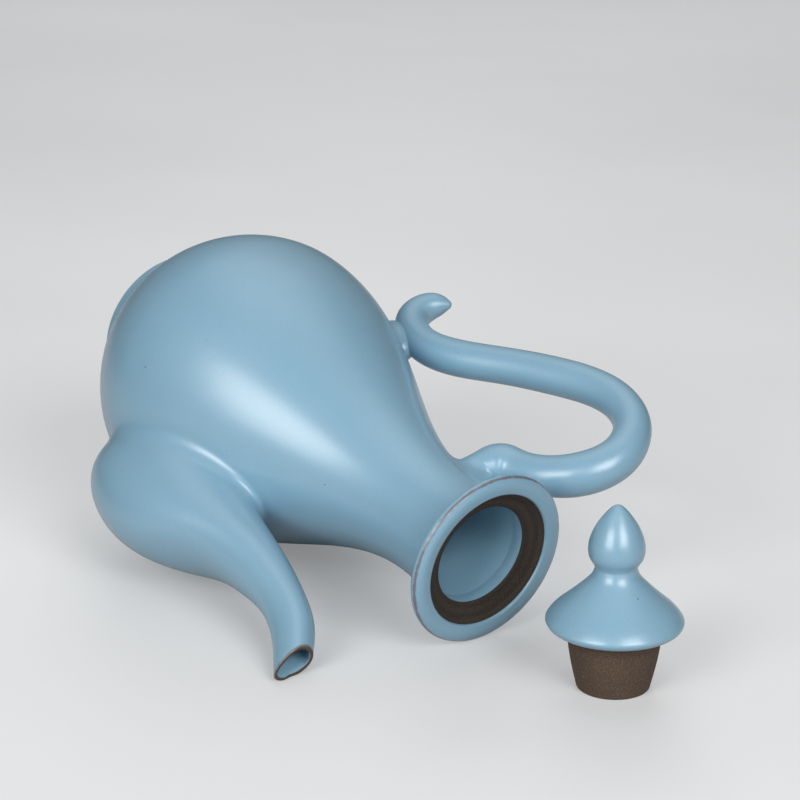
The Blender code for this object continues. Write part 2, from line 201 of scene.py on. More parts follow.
class NodeSheet:
    """A node tree that is written as Python: one method makes any node, sets it and wires it."""

    def __init__(self, tree: bpy.types.NodeTree) -> None:
        """Keep the tree."""
        self.tree = tree

    @staticmethod
    def pick(sockets: bpy.types.bpy_prop_collection, key: Union[str, int]) -> bpy.types.NodeSocket:
        """Find a socket.

        Args:
            sockets: a node's inputs or outputs.
            key: the socket's identifier, name or number.

        Returns:
            The socket.
        """
        if isinstance(key, int):
            return sockets[key]
        shown = [socket for socket in sockets if socket.enabled]
        for socket in shown:
            if socket.identifier == key:
                return socket
        return next(socket for socket in shown if socket.name == key)

    def feed(self, made: bpy.types.Node, values: Mapping[Union[str, int], object]) -> None:
        """Set and wire a node's inputs.

        Args:
            made: the node.
            values: for each input, by name, identifier or number, a value, a Wire or a list of Wires.
        """
        for key, value in values.items():
            socket = self.pick(made.inputs, key)
            for item in value if isinstance(value, list) else [value]:
                if isinstance(item, Wire):
                    self.tree.links.new(item.socket, socket)
                else:
                    socket.default_value = item

    def node(self, kind: str, values: Mapping[Union[str, int], object] | None = None,
             **settings: object) -> Outputs:
        """Make a node.

        Args:
            kind: Blender's type of the node.
            values: what feeds its inputs.
            settings: the node's own settings, which are set first.

        Returns:
            The node's outputs.
        """
        made = self.tree.nodes.new(kind)
        for name, value in settings.items():
            setattr(made, name, value)
        self.feed(made, values or {})
        return Outputs(self, made)

    def vector(self, operation: str, *terms: object, result: str = "Vector") -> Wire:
        """Add one Vector Math node.

        Args:
            operation: Blender's name of the operation.
            terms: vectors, in the order of the node's inputs.
            result: "Vector", or "Value" where the operation gives a number.

        Returns:
            The node's result.
        """
        return self.node("ShaderNodeVectorMath", dict(enumerate(terms)), operation=operation)[result]

    def scaled(self, vector: Wire, factor: Term) -> Wire:
        """The vector times a number."""
        return self.node("ShaderNodeVectorMath", {0: vector, "Scale": factor}, operation="SCALE")["Vector"]

    def mix(self, share: Term, first: object, second: object) -> Wire:
        """Blend two colours.

        Args:
            share: how much of the second shows, from 0 to 1.
            first: a colour or a Wire of one.
            second: a colour or a Wire of one.

        Returns:
            The blended colour.
        """
        values = {"Factor_Float": share, "A_Color": first, "B_Color": second}
        return self.node("ShaderNodeMix", values, data_type="RGBA")["Result_Color"]

    def noise(self, place: Wire, scale: float, detail: float = 1.0) -> Wire:
        """Even noise about 0.5.

        Args:
            place: the coordinates.
            scale: waves per metre.
            detail: octaves added to the first.

        Returns:
            The noise, about 0 to 1.
        """
        values = {"Vector": place, "Scale": scale, "Detail": detail}
        return self.node("ShaderNodeTexNoise", values)["Fac"]


@dataclass(frozen=True)
class ClayTone:
    """Bare fired clay: brown, grainy and dry. Each band is the noise at which a mark begins and is full.

    Args:
        main: overall colour.
        dark: colour of the turned grooves and of iron grains.
        pale: colour of the sand grains.
        roughness: the dry surface.
        clouds: uneven patches per metre.
        cloud_band: band of the patches.
        cloud_share: how dark the patches go, from 0 to 1.
        grains: sand and iron grains per metre.
        sand_band: band of the sand grains.
        sand_share: how pale they go, from 0 to 1.
        iron_band: band of the iron grains.
        iron_share: how dark they go, from 0 to 1.
        grooves: turning marks per metre of the outline.
        groove_band: band of the turning marks.
        rings: strength of the turning marks, from 0 to 1.
        grain_height: share of the grains in the bump; the turning marks make up the rest.
    """

    main: Colour = (0.096, 0.060, 0.037, 1.0)
    dark: Colour = (0.042, 0.029, 0.021, 1.0)
    pale: Colour = (0.182, 0.120, 0.076, 1.0)
    roughness: float = 0.88
    clouds: float = 60.0
    cloud_band: Pair = (0.3, 0.7)
    cloud_share: float = 0.35
    grains: float = 1900.0
    sand_band: Pair = (0.54, 0.74)
    sand_share: float = 0.70
    iron_band: Pair = (0.46, 0.27)
    iron_share: float = 0.75
    grooves: float = 700.0
    groove_band: Pair = (0.60, 0.36)
    rings: float = 0.22
    grain_height: float = 0.75

    def colour(self, sheet: NodeSheet, place: Wire, along: Wire) -> tuple[Wire, Wire]:
        """Colour and grain of the clay.

        Args:
            sheet: the material's nodes.
            place: object coordinates.
            along: distance along the turned outline.

        Returns:
            The colour, and a height for the bump.
        """
        cloud = sheet.noise(place, self.clouds, 3.0).ease(*self.cloud_band)
        grain = sheet.noise(place, self.grains)
        values = {"W": along, "Scale": self.grooves, "Detail": 2.0}
        groove = sheet.node("ShaderNodeTexNoise", values, noise_dimensions="1D")["Fac"]
        tone = sheet.mix(cloud * self.cloud_share, self.main, self.dark)
        tone = sheet.mix(groove.ease(*self.groove_band) * self.rings, tone, self.dark)
        tone = sheet.mix(grain.ease(*self.sand_band) * self.sand_share, tone, self.pale)
        tone = sheet.mix(grain.ease(*self.iron_band) * self.iron_share, tone, self.dark)
        return tone, grain * self.grain_height + groove * (1.0 - self.grain_height)


@dataclass(frozen=True)
class SkyGlaze:
    """Satin sky-blue celadon glaze over brown clay.

    Args:
        main: colour of the glaze.
        pale: colour where it is a little thinner.
        deep: colour where it pools in joints.
        iron: colour where it runs thin over a sharp edge.
        speck: colour of iron specks.
        roughness: the satin surface.
        roughness_drift: how far that varies from place to place.
        edge_roughness: how much drier the thin edges are.
        coat: weight of the glassy skin over it.
        coat_roughness: how far that skin spreads a light.
        refraction: index of refraction of the glass.
        drifts: wide changes of thickness per metre.
        clouds: small changes of thickness per metre.
        drift_share: share of the wide changes in the tone.
        uneven_band: change at which the glaze begins to be thinner, and at which it is.
        pale_share: how pale the thinner places go, from 0 to 1.
        mist: fine bubbles per metre.
        pale_mist: noise at which bubbles begin to turn the tone pale, and at which they have.
        deep_mist: the same for bubbles that turn it deep.
        mist_share: how far bubbles change the tone, from 0 to 1.
        pool_share: how deep a pool's tone is at the least, and what the clouds add to it.
        fray: breaks per metre along edges.
        fray_share: how thin an edge is at the least, and what the breaks add to it.
        iron_band: thinness at which the iron shows, and at which it is full.
        iron_share: how far it covers the glaze, from 0 to 1.
        wiped_fray: how ragged the border of wiped clay is.
        wiped_band: bareness at which clay shows, and at which it is full.
        ripples: waves of the surface per metre.
        ripple_height: their share of the bump.
        bump: strength of the bump.
        bump_depth: its depth.
        grains: cells per metre in which an iron grain may sit.
        grain_band: size at which a grain ends, and at which it is full, in cells.
        rare_band: share of cells without a grain, and without a full one.
        grain_share: how far a grain covers the glaze, from 0 to 1.
        speck_core: share of a speck's radius that is full.
        speck_share: how far a speck covers the glaze, from 0 to 1.
    """

    main: Colour = (0.222, 0.404, 0.532, 1.0)
    pale: Colour = (0.250, 0.432, 0.556, 1.0)
    deep: Colour = (0.168, 0.338, 0.462, 1.0)
    iron: Colour = (0.135, 0.092, 0.096, 1.0)
    speck: Colour = (0.075, 0.055, 0.045, 1.0)
    roughness: float = 0.42
    roughness_drift: float = 0.04
    edge_roughness: float = 0.16
    coat: float = 1.0
    coat_roughness: float = 0.25
    refraction: float = 1.56
    drifts: float = 14.0
    clouds: float = 70.0
    drift_share: float = 0.6
    uneven_band: Pair = (0.25, 0.75)
    pale_share: float = 0.6
    mist: float = 1300.0
    pale_mist: Pair = (0.50, 0.80)
    deep_mist: Pair = (0.50, 0.20)
    mist_share: float = 0.30
    pool_share: Pair = (0.15, 0.3)
    fray: float = 420.0
    fray_share: Pair = (0.55, 0.9)
    iron_band: Pair = (0.45, 0.85)
    iron_share: float = 0.85
    wiped_fray: float = 0.35
    wiped_band: Pair = (0.42, 0.58)
    ripples: float = 240.0
    ripple_height: float = 0.16
    bump: float = 0.35
    bump_depth: float = 0.00025
    grains: float = 190.0
    grain_band: Pair = (0.055, 0.030)
    rare_band: Pair = (0.955, 0.965)
    grain_share: float = 0.8
    speck_core: float = 0.45
    speck_share: float = 0.9

    def material(self, name: str, clay: ClayTone, specks: Specks = ()) -> bpy.types.Material:
        """Make the finish for one slot.

        Args:
            name: name of the material.
            clay: the bare clay that shows where the glaze was wiped off.
            specks: places and radii of iron specks, in the row frame.

        Returns:
            The material.
        """
        made, sheet, shader = new_material(name)
        place = sheet.node("ShaderNodeTexCoord")["Object"]
        bare, thin, pool, along = (sheet.node("ShaderNodeAttribute", attribute_name=carried)["Fac"]
                                   for carried in (BARE, THIN, POOL, ALONG))
        cloud = sheet.noise(place, self.clouds)
        break_up = sheet.noise(place, self.fray, 2.0)
        tone = self._tone(sheet, place, cloud)
        pooled, clouded = self.pool_share
        tone = sheet.mix(pool * (pooled + clouded * cloud), tone, self.deep)
        tone = sheet.mix(self._specks(sheet, place, specks), tone, self.speck)
        thinned, broken = self.fray_share
        edge = (thin * (thinned + broken * break_up)).ease(*self.iron_band)
        tone = sheet.mix(edge * self.iron_share, tone, self.iron)

        clay_tone, grain = clay.colour(sheet, place, along)
        ragged = (bare + (break_up - 0.5) * self.wiped_fray).ease(*self.wiped_band)
        gloss = self.roughness + self.roughness_drift * (cloud - 0.5) + self.edge_roughness * edge
        ripple = (1.0 - ragged) * sheet.noise(place, self.ripples) * self.ripple_height
        values = {"Strength": self.bump, "Distance": self.bump_depth, "Height": ripple + ragged * grain}
        sheet.feed(shader, {
            "Base Color": sheet.mix(ragged, tone, clay_tone),
            "Roughness": gloss + ragged * (clay.roughness - gloss),
            "IOR": self.refraction,
            "Coat Weight": (1.0 - ragged) * self.coat,
            "Coat Roughness": self.coat_roughness,
            "Normal": sheet.node("ShaderNodeBump", values)["Normal"],
        })
        return made

    def _tone(self, sheet: NodeSheet, place: Wire, cloud: Wire) -> Wire:
        """Colour of the glaze where it lies evenly.

        Args:
            sheet: the material's nodes.
            place: object coordinates.
            cloud: the small changes of thickness.

        Returns:
            The colour.
        """
        drift = sheet.noise(place, self.drifts)
        mist = sheet.noise(place, self.mist)
        uneven = (drift * self.drift_share + cloud * (1.0 - self.drift_share)).ease(*self.uneven_band)
        tone = sheet.mix(uneven * self.pale_share, self.main, self.pale)
        tone = sheet.mix(mist.ease(*self.pale_mist) * self.mist_share, tone, self.pale)
        return sheet.mix(mist.ease(*self.deep_mist) * self.mist_share, tone, self.deep)

    def _specks(self, sheet: NodeSheet, place: Wire, specks: Specks) -> Wire:
        """Share of speck colour: a few pin-point iron grains, and the specks whose places are given.

        Args:
            sheet: the material's nodes.
            place: object coordinates.
            specks: places and radii in the row frame.

        Returns:
            The share, from 0 to 1.
        """
        cells = sheet.node("ShaderNodeTexVoronoi", {"Vector": place, "Scale": self.grains})
        rare = sheet.node("ShaderNodeSeparateColor", {"Color": cells["Color"]})["Red"]
        share = cells["Distance"].ease(*self.grain_band) * rare.ease(*self.rare_band) * self.grain_share
        for spot, radius in specks:
            away = sheet.vector("DISTANCE", place, tuple(spot), result="Value")
            share = share.at_least(away.ease(radius, self.speck_core * radius) * self.speck_share)
        return share


def new_material(name: str) -> tuple[bpy.types.Material, NodeSheet, bpy.types.Node]:
    """Start a material.

    Args:
        name: name of the material.

    Returns:
        The material, its node sheet and its Principled shader.
    """
    made = bpy.data.materials.new(name)
    made.use_nodes = True
    return made, NodeSheet(made.node_tree), made.node_tree.nodes["Principled BSDF"]


class NaturalCurve:
    """Natural cubic curve through a few rows of numbers, the first two of which are a place in a plane."""

    def __init__(self, rows: Sequence[Sequence[float]]) -> None:
        """Solve for the bends.

        Args:
            rows: the rows that the curve goes through.
        """
        self.knots = np.array(rows, dtype=float)
        self.spans = np.linalg.norm(np.diff(self.knots[:, :2], axis=0), axis=1)
        self.where = np.concatenate([[0.0], np.cumsum(self.spans)])
        last = len(self.knots) - 1
        system = np.eye(last + 1)
        right = np.zeros_like(self.knots)
        for i in range(1, last):
            before, after = self.spans[i - 1], self.spans[i]
            system[i, i - 1:i + 2] = (before, 2.0 * (before + after), after)
            ahead = (self.knots[i + 1] - self.knots[i]) / after
            right[i] = 6.0 * (ahead - (self.knots[i] - self.knots[i - 1]) / before)
        self.bends = np.linalg.solve(system, right)

    @property
    def length(self) -> float:
        """Length measured from row to row."""
        return float(self.where[-1])

    def at(self, places: np.ndarray) -> np.ndarray:
        """Rows at some places along the curve.

        Args:
            places: distances from the first row.

        Returns:
            One row for each place.
        """
        places = np.asarray(places, dtype=float)
        i = np.clip(np.searchsorted(self.where, places, side="right") - 1, 0, len(self.spans) - 1)
        span = self.spans[i][..., None]
        ahead = (self.where[i + 1] - places)[..., None]
        behind = (places - self.where[i])[..., None]
        value = (self.bends[i] * ahead ** 3 + self.bends[i + 1] * behind ** 3) / (6.0 * span)
        value += (self.knots[i] / span - self.bends[i] * span / 6.0) * ahead
        return value + (self.knots[i + 1] / span - self.bends[i + 1] * span / 6.0) * behind


def moved(points: Points, r: float, z: float) -> list[Point]:
    """The points, moved out by r and up by z."""
    return [(r + out, z + up) for out, up in points]


def set_values(mesh: bpy.types.Mesh, name: str, values: np.ndarray) -> None:
    """Write one number for each point of a mesh.

    Args:
        mesh: the mesh.
        name: name of the attribute.
        values: one number for each point.
    """
    layer = mesh.attributes.get(name) or mesh.attributes.new(name, "FLOAT", "POINT")
    layer.data.foreach_set("value", np.ascontiguousarray(values, dtype=np.float32))


def points_of(mesh: bpy.types.Mesh) -> np.ndarray:
    """The points of a mesh.

    Args:
        mesh: the mesh.

    Returns:
        One row for each point.
    """
    flat = np.zeros(3 * len(mesh.vertices), np.float32)
    mesh.vertices.foreach_get("co", flat)
    return flat.reshape(-1, 3).astype(float)


def chain_mesh(name: str, rows: np.ndarray) -> bpy.types.Mesh:
    """A chain of points in the XZ plane that carry their distance along it.

    Args:
        name: name of the mesh.
        rows: one row for each point, which begins with its X and Z.

    Returns:
        The chain.
    """
    places = np.column_stack([rows[:, 0], np.zeros(len(rows)), rows[:, 1]])
    made = bpy.data.meshes.new(name)
    made.from_pydata(places.tolist(), [(i, i + 1) for i in range(len(rows) - 1)], [])
    steps = np.linalg.norm(np.diff(places, axis=0), axis=1)
    set_values(made, ALONG, np.concatenate([[0.0], np.cumsum(steps)]))
    return made


def ring_mesh(name: str, rows: np.ndarray) -> bpy.types.Mesh:
    """Skin rows of rings that end where they began, as the wall of a tube does.

    Args:
        name: name of the mesh.
        rows: points as rows by steps.

    Returns:
        The closed mesh.
    """
    count, steps = rows.shape[:2]
    i, j = np.meshgrid(np.arange(count), np.arange(steps), indexing="ij")
    next_i = (i + 1) % count
    next_j = (j + 1) % steps
    corners = [i * steps + j, i * steps + next_j, next_i * steps + next_j, next_i * steps + j]
    made = bpy.data.meshes.new(name)
    made.from_pydata(rows.reshape(-1, 3).tolist(), [], np.stack(corners, axis=-1).reshape(-1, 4).tolist())
    return made


def face_outwards(mesh: bpy.types.Mesh) -> bpy.types.Mesh:
    """Turn a closed mesh's faces outwards and shade it smooth, with its real edges sharp.

    Args:
        mesh: the mesh.

    Returns:
        The same mesh.
    """
    shape = bmesh.new()
    shape.from_mesh(mesh)
    if shape.calc_volume(signed=True) < 0.0:
        bmesh.ops.reverse_faces(shape, faces=shape.faces)
    shape.to_mesh(mesh)
    shape.free()
    mesh.shade_smooth()
    mesh.set_sharp_from_angle(angle=SHARP_ANGLE)
    return mesh


def pooled(away: np.ndarray, reach: float) -> np.ndarray:
    """Share of pooled glaze at some distances from a joint, which fades over a reach."""
    return np.exp(-(np.maximum(away, 0.0) / reach) ** 2)


def new_object(name: str, data: bpy.types.ID) -> bpy.types.Object:
    """Make an object in the scene.

    Args:
        name: name of the object.
        data: its mesh, lamp or camera.

    Returns:
        The object.
    """
    made = bpy.data.objects.new(name, data)
    bpy.context.scene.collection.objects.link(made)
    return made


def set_piece(name: str, mesh: bpy.types.Mesh, place: Matrix, body: Body, node: str) -> None:
    """Add a finished piece to the object.

    Args:
        name: name of the piece.
        mesh: its mesh, upright and with its material.
        place: where the upright mesh goes in the row frame.
        body: CAD body that it rides on.
        node: CAD node that it stands for.
    """
    mesh.transform(place)
    for carried in (BARE, THIN, POOL, ALONG):
        if mesh.attributes.get(carried) is None:
            set_values(mesh, carried, np.zeros(len(mesh.vertices)))
    made = new_object(name, mesh)
    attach(made, body.value)
    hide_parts(node)
    LOG.info("%s: %d faces, on %s, for %s", name, len(mesh.polygons), body.value, node)


class Outline:
    """Half section of a turned piece, as points with the finish that they carry."""

    def __init__(self) -> None:
        """Start empty."""
        self.rows: list[tuple[float, float, float, float]] = []

    def add(self, points: Iterable[Point], bare: float = 0.0) -> "Outline":
        """Append points.

        Args:
            points: (radius, height) pairs.
            bare: 1 where the clay is bare.

        Returns:
            The outline itself.
        """
        self.rows += [(float(r), float(z), bare, 0.0) for r, z in points]
        return self

    def smooth(self, points: Sequence[Point], count: int, bare: float = 0.0) -> "Outline":
        """Append a smooth curve through a few points.

        Args:
            points: (radius, height) pairs that the curve goes through.
            count: number of points on it.
            bare: 1 where the clay is bare.

        Returns:
            The outline itself.
        """
        curve = NaturalCurve(points)
        return self.add(curve.at(np.linspace(0.0, curve.length, count)), bare)

    def thin_near(self, spot: Point, reach: float, strength: float = 1.0) -> "Outline":
        """Thin the glaze about one point of the outline.

        Args:
            spot: (radius, height) of the sharpest point.
            reach: distance at which the glaze is full again.
            strength: share of thinning at the spot.

        Returns:
            The outline itself.
        """
        for i, (r, z, bare, thin) in enumerate(self.rows):
            near = 1.0 - min(hypot(r - spot[0], z - spot[1]) / reach, 1.0)
            self.rows[i] = (r, z, bare, max(thin, strength * near))
        return self

    def close(self) -> "Outline":
        """Repeat the first point at the end, so that the section is a ring."""
        self.rows.append(self.rows[0])
        return self

    def mesh(self, name: str) -> bpy.types.Mesh:
        """The outline as a chain of points that carry its finish.

        Args:
            name: name of the mesh.

        Returns:
            The chain, in the XZ plane.
        """
        rows = np.array(self.rows)
        made = chain_mesh(name, rows)
        set_values(made, BARE, rows[:, 2])
        set_values(made, THIN, rows[:, 3])
        return made


class GeometryTool:
    """A Geometry Nodes tree with named inputs, which is run on a mesh and leaves a plain one."""

    def __init__(self, name: str, counts: Sequence[str] = (), lengths: Sequence[str] = (),
                 places: Sequence[str] = ()) -> None:
        """Start the tree, with its geometry and its finish as inputs besides those named.

        Args:
            name: name of the tree.
            counts: labels of the inputs that are whole numbers.
            lengths: labels of the inputs that are lengths.
            places: labels of the inputs that are places.
        """
        self.tree = bpy.data.node_groups.new(name, "GeometryNodeTree")
        self.sheet = NodeSheet(self.tree)
        self.tree.interface.new_socket("Geometry", in_out="INPUT", socket_type="NodeSocketGeometry")
        self.names: dict[str, str] = {}
        kinds = {"NodeSocketInt": counts, "NodeSocketFloat": lengths, "NodeSocketVector": places,
                 "NodeSocketMaterial": ("Finish",)}
        for kind, labels in kinds.items():
            for label in labels:
                socket = self.tree.interface.new_socket(label, in_out="INPUT", socket_type=kind)
                self.names[label] = socket.identifier
        self.tree.interface.new_socket("Geometry", in_out="OUTPUT", socket_type="NodeSocketGeometry")
        self.given = self.sheet.node("NodeGroupInput")

    def position(self) -> Wire:
        """The place of each point."""
        return self.sheet.node("GeometryNodeInputPosition")["Position"]

    def read(self, name: str, kind: str = "FLOAT") -> Wire:
        """The value of a kind that each point carries under a name."""
        return self.sheet.node("GeometryNodeInputNamedAttribute", {"Name": name}, data_type=kind)["Attribute"]

    def keep(self, geometry: Wire, name: str, value: Wire) -> Wire:
        """Store a number on each point.

        Args:
            geometry: the mesh so far.
            name: name of the attribute.
            value: the number.

        Returns:
            The mesh with the attribute.
        """
        values = {"Geometry": geometry, "Name": name, "Value": value}
        kept = self.sheet.node("GeometryNodeStoreNamedAttribute", values, data_type="FLOAT", domain="POINT")
        return kept["Geometry"]

    def shifted(self, geometry: Wire, **where: Wire) -> Wire:
        """The mesh with its points at a Position, or moved by an Offset."""
        return self.sheet.node("GeometryNodeSetPosition", {"Geometry": geometry, **where})["Geometry"]

    def hand_over(self, geometry: Wire) -> None:
        """End the tree in Realize Instances and Set Material.

        Args:
            geometry: the finished mesh.
        """
        solid = self.sheet.node("GeometryNodeRealizeInstances", {"Geometry": geometry})["Geometry"]
        values = {"Geometry": solid, "Material": self.given["Finish"]}
        dressed = self.sheet.node("GeometryNodeSetMaterial", values)["Geometry"]
        self.sheet.node("NodeGroupOutput", {"Geometry": dressed})

    def weld(self, geometry: Wire) -> Wire:
        """The mesh with points that share a place made one."""
        values = {"Geometry": geometry, "Distance": WELD}
        return self.sheet.node("GeometryNodeMergeByDistance", values)["Geometry"]

    def run(self, name: str, start: bpy.types.Mesh, values: Mapping[str, object]) -> bpy.types.Mesh:
        """Run the tree.

        Args:
            name: name of the result.
            start: mesh that goes in.
            values: value for each named input.

        Returns:
            A plain mesh, facing outwards.
        """
        holder = new_object(name + "_draft", start)
        step = holder.modifiers.new(self.tree.name, "NODES")
        step.node_group = self.tree
        for label, value in values.items():
            step[self.names[label]] = value
        graph = bpy.context.evaluated_depsgraph_get()
        made = bpy.data.meshes.new_from_object(
            holder.evaluated_get(graph), preserve_all_data_layers=True, depsgraph=graph)
        made.name = name
        made.materials.clear()
        made.materials.append(values["Finish"])
        made.polygons.foreach_set("material_index", np.zeros(len(made.polygons), np.int32))
        bpy.data.objects.remove(holder)
        bpy.data.meshes.remove(start)
        return face_outwards(made)


class TurningWheel(GeometryTool):
    """Turns an outline about Z, as on a potter's wheel."""

    def __init__(self) -> None:
        """Build the tree."""
        super().__init__("turning_wheel", counts=("Steps Round",))
        sheet = self.sheet
        outline = self.given["Geometry"]
        steps = self.given["Steps Round"]
        size = sheet.node("GeometryNodeAttributeDomainSize", {"Geometry": outline}, component="MESH")
        rows = size["Point Count"]
        grid = sheet.node("GeometryNodeMeshGrid", {"Vertices X": steps + 1, "Vertices Y": rows})["Mesh"]
        index = sheet.node("GeometryNodeInputIndex")["Index"]
        row = index % rows
        angle = (index / rows + NUDGE).floor() * TURN / steps
        spot = self._sample(outline, "FLOAT_VECTOR", self.position(), row)
        parts = sheet.node("ShaderNodeSeparateXYZ", {0: spot})
        values = {"X": parts["X"] * angle.cosine(), "Y": parts["X"] * angle.sine(), "Z": parts["Z"]}
        mesh = self.shifted(grid, Position=sheet.node("ShaderNodeCombineXYZ", values)[0])
        for name in (BARE, THIN, ALONG):
            mesh = self.keep(mesh, name, self._sample(outline, "FLOAT", self.read(name), row))
        self.hand_over(self.weld(mesh))

    def _sample(self, outline: Wire, kind: str, value: Wire, row: Wire) -> Wire:
        """A value of one point of the outline.

        Args:
            outline: the chain of points.
            kind: Blender's name of the value's type.
            value: what the points carry.
            row: number of the point.

        Returns:
            The value at that point.
        """
        values = {"Geometry": outline, "Value": value, "Index": row}
        return self.sheet.node("GeometryNodeSampleIndex", values, data_type=kind, domain="POINT")["Value"]

    def turn(self, name: str, outline: Outline, steps: int, finish: bpy.types.Material) -> bpy.types.Mesh:
        """Turn one piece.

        Args:
            name: name of the mesh.
            outline: its half section.
            steps: faces round the axis.
            finish: its material.

        Returns:
            The turned mesh, upright about Z.
        """
        return self.run(name, outline.mesh(name + "_outline"), {"Steps Round": steps, "Finish": finish})


@dataclass(frozen=True)
class PotForm:
    """The rule of the pot's thrown body: a round belly drawn up into a slim neck.

    Args:
        belly_r: radius of the belly.
        belly_z: height of the widest place.
        belly_depth: height over which the belly would close below it.
        roundness: 2 is an ellipse, less is leaner.
        neck_r: radius of the narrowest place of the neck.
        neck_z: height of that place.
        neck_top: height at which the mouth begins.
        neck_flare: how far the neck opens up to there.
        wall: thickness of the belly.
        neck_wall: thickness of the neck.
    """

    belly_r: float = 0.068
    belly_z: float = 0.063
    belly_depth: float = 0.0675
    roundness: float = 1.85
    neck_r: float = 0.0242
    neck_z: float = 0.206
    neck_top: float = 0.228
    neck_flare: float = 0.0020
    wall: float = 0.0050
    neck_wall: float = 0.0045

    def radius(self, heights: np.ndarray | float) -> np.ndarray:
        """Outer radius of the body.

        Args:
            heights: heights above the foot's underside.

        Returns:
            The radius at each height.
        """
        z = np.asarray(heights, dtype=float)
        fall = np.clip((self.belly_z - z) / self.belly_depth, 0.0, 1.0)
        below = self.belly_r * (1.0 - fall ** self.roundness) ** (1.0 / self.roundness)
        rise = np.clip((z - self.belly_z) / (self.neck_z - self.belly_z), 0.0, 1.0)
        above = self.neck_r + (self.belly_r - self.neck_r) * 0.5 * (1.0 + np.cos(pi * rise))
        open_up = np.clip((z - self.neck_z) / (self.neck_top - self.neck_z), 0.0, None)
        return np.where(z <= self.belly_z, below, above + self.neck_flare * open_up ** 2)

    def wall_at(self, heights: np.ndarray) -> np.ndarray:
        """Thickness of the wall at some heights."""
        rise = np.clip((heights - self.belly_z) / (self.neck_z - self.belly_z), 0.0, 1.0)
        return self.wall + (self.neck_wall - self.wall) * rise

    @staticmethod
    def from_axis(points: np.ndarray) -> np.ndarray:
        """Distance of points from the pot's axis."""
        return np.hypot(points[..., 0], points[..., 1])

    def _slope(self, heights: np.ndarray) -> np.ndarray:
        """How fast the radius grows with height, kept within what is used."""
        growth = self.radius(heights + PROBE) - self.radius(heights - PROBE)
        return np.clip(growth / (2.0 * PROBE), -STEEPEST, STEEPEST)

    def outside(self, points: np.ndarray) -> np.ndarray:
        """Distance of points outside the body's surface, negative inside."""
        away = self.from_axis(points) - self.radius(points[..., 2])
        return away / np.sqrt(1.0 + self._slope(points[..., 2]) ** 2)

    def normal(self, points: np.ndarray) -> np.ndarray:
        """Outward direction of the body's surface.

        Args:
            points: places near the surface.

        Returns:
            The direction of length 1 at each of them.
        """
        r = np.maximum(self.from_axis(points), TINY)
        way = np.stack([points[..., 0] / r, points[..., 1] / r, -self._slope(points[..., 2])], axis=-1)
        return way / np.linalg.norm(way, axis=-1, keepdims=True)

    def sink_into_wall(self, points: np.ndarray, depth: float) -> np.ndarray:
        """Move points that lie deeper in the wall than a depth out to that depth.

        Args:
            points: the points.
            depth: the depth under the body's outer surface.

        Returns:
            The points, none of which lies deeper.
        """
        grow = (self.radius(points[..., 2]) - depth) / np.maximum(self.from_axis(points), TINY)
        sunk = points.copy()
        sunk[..., :2] *= np.maximum(1.0, grow)[..., None]
        return sunk


@dataclass(frozen=True)
class PotPose:
    """How the pot lies.

    Args:
        foot: place of the foot's centre.
        dip: angle by which the axis falls towards the mouth.
        roll: turn about the axis.
    """

    foot: Place = (-0.1581113, -0.0044257, 0.0798003)
    dip: float = radians(10.363982)
    roll: float = radians(67.578363)

    def matrix(self) -> Matrix:
        """Place of the upright pot in the row frame.

        Returns:
            The matrix that lays the pot down.
        """
        axis = Vector((cos(self.dip), 0.0, -sin(self.dip)))
        down = Vector((-sin(self.dip), 0.0, -cos(self.dip)))
        frame = Matrix((down, axis.cross(down), axis)).transposed().to_4x4()
        return Matrix.Translation(self.foot) @ frame @ Matrix.Rotation(-self.roll, 4, "Z")


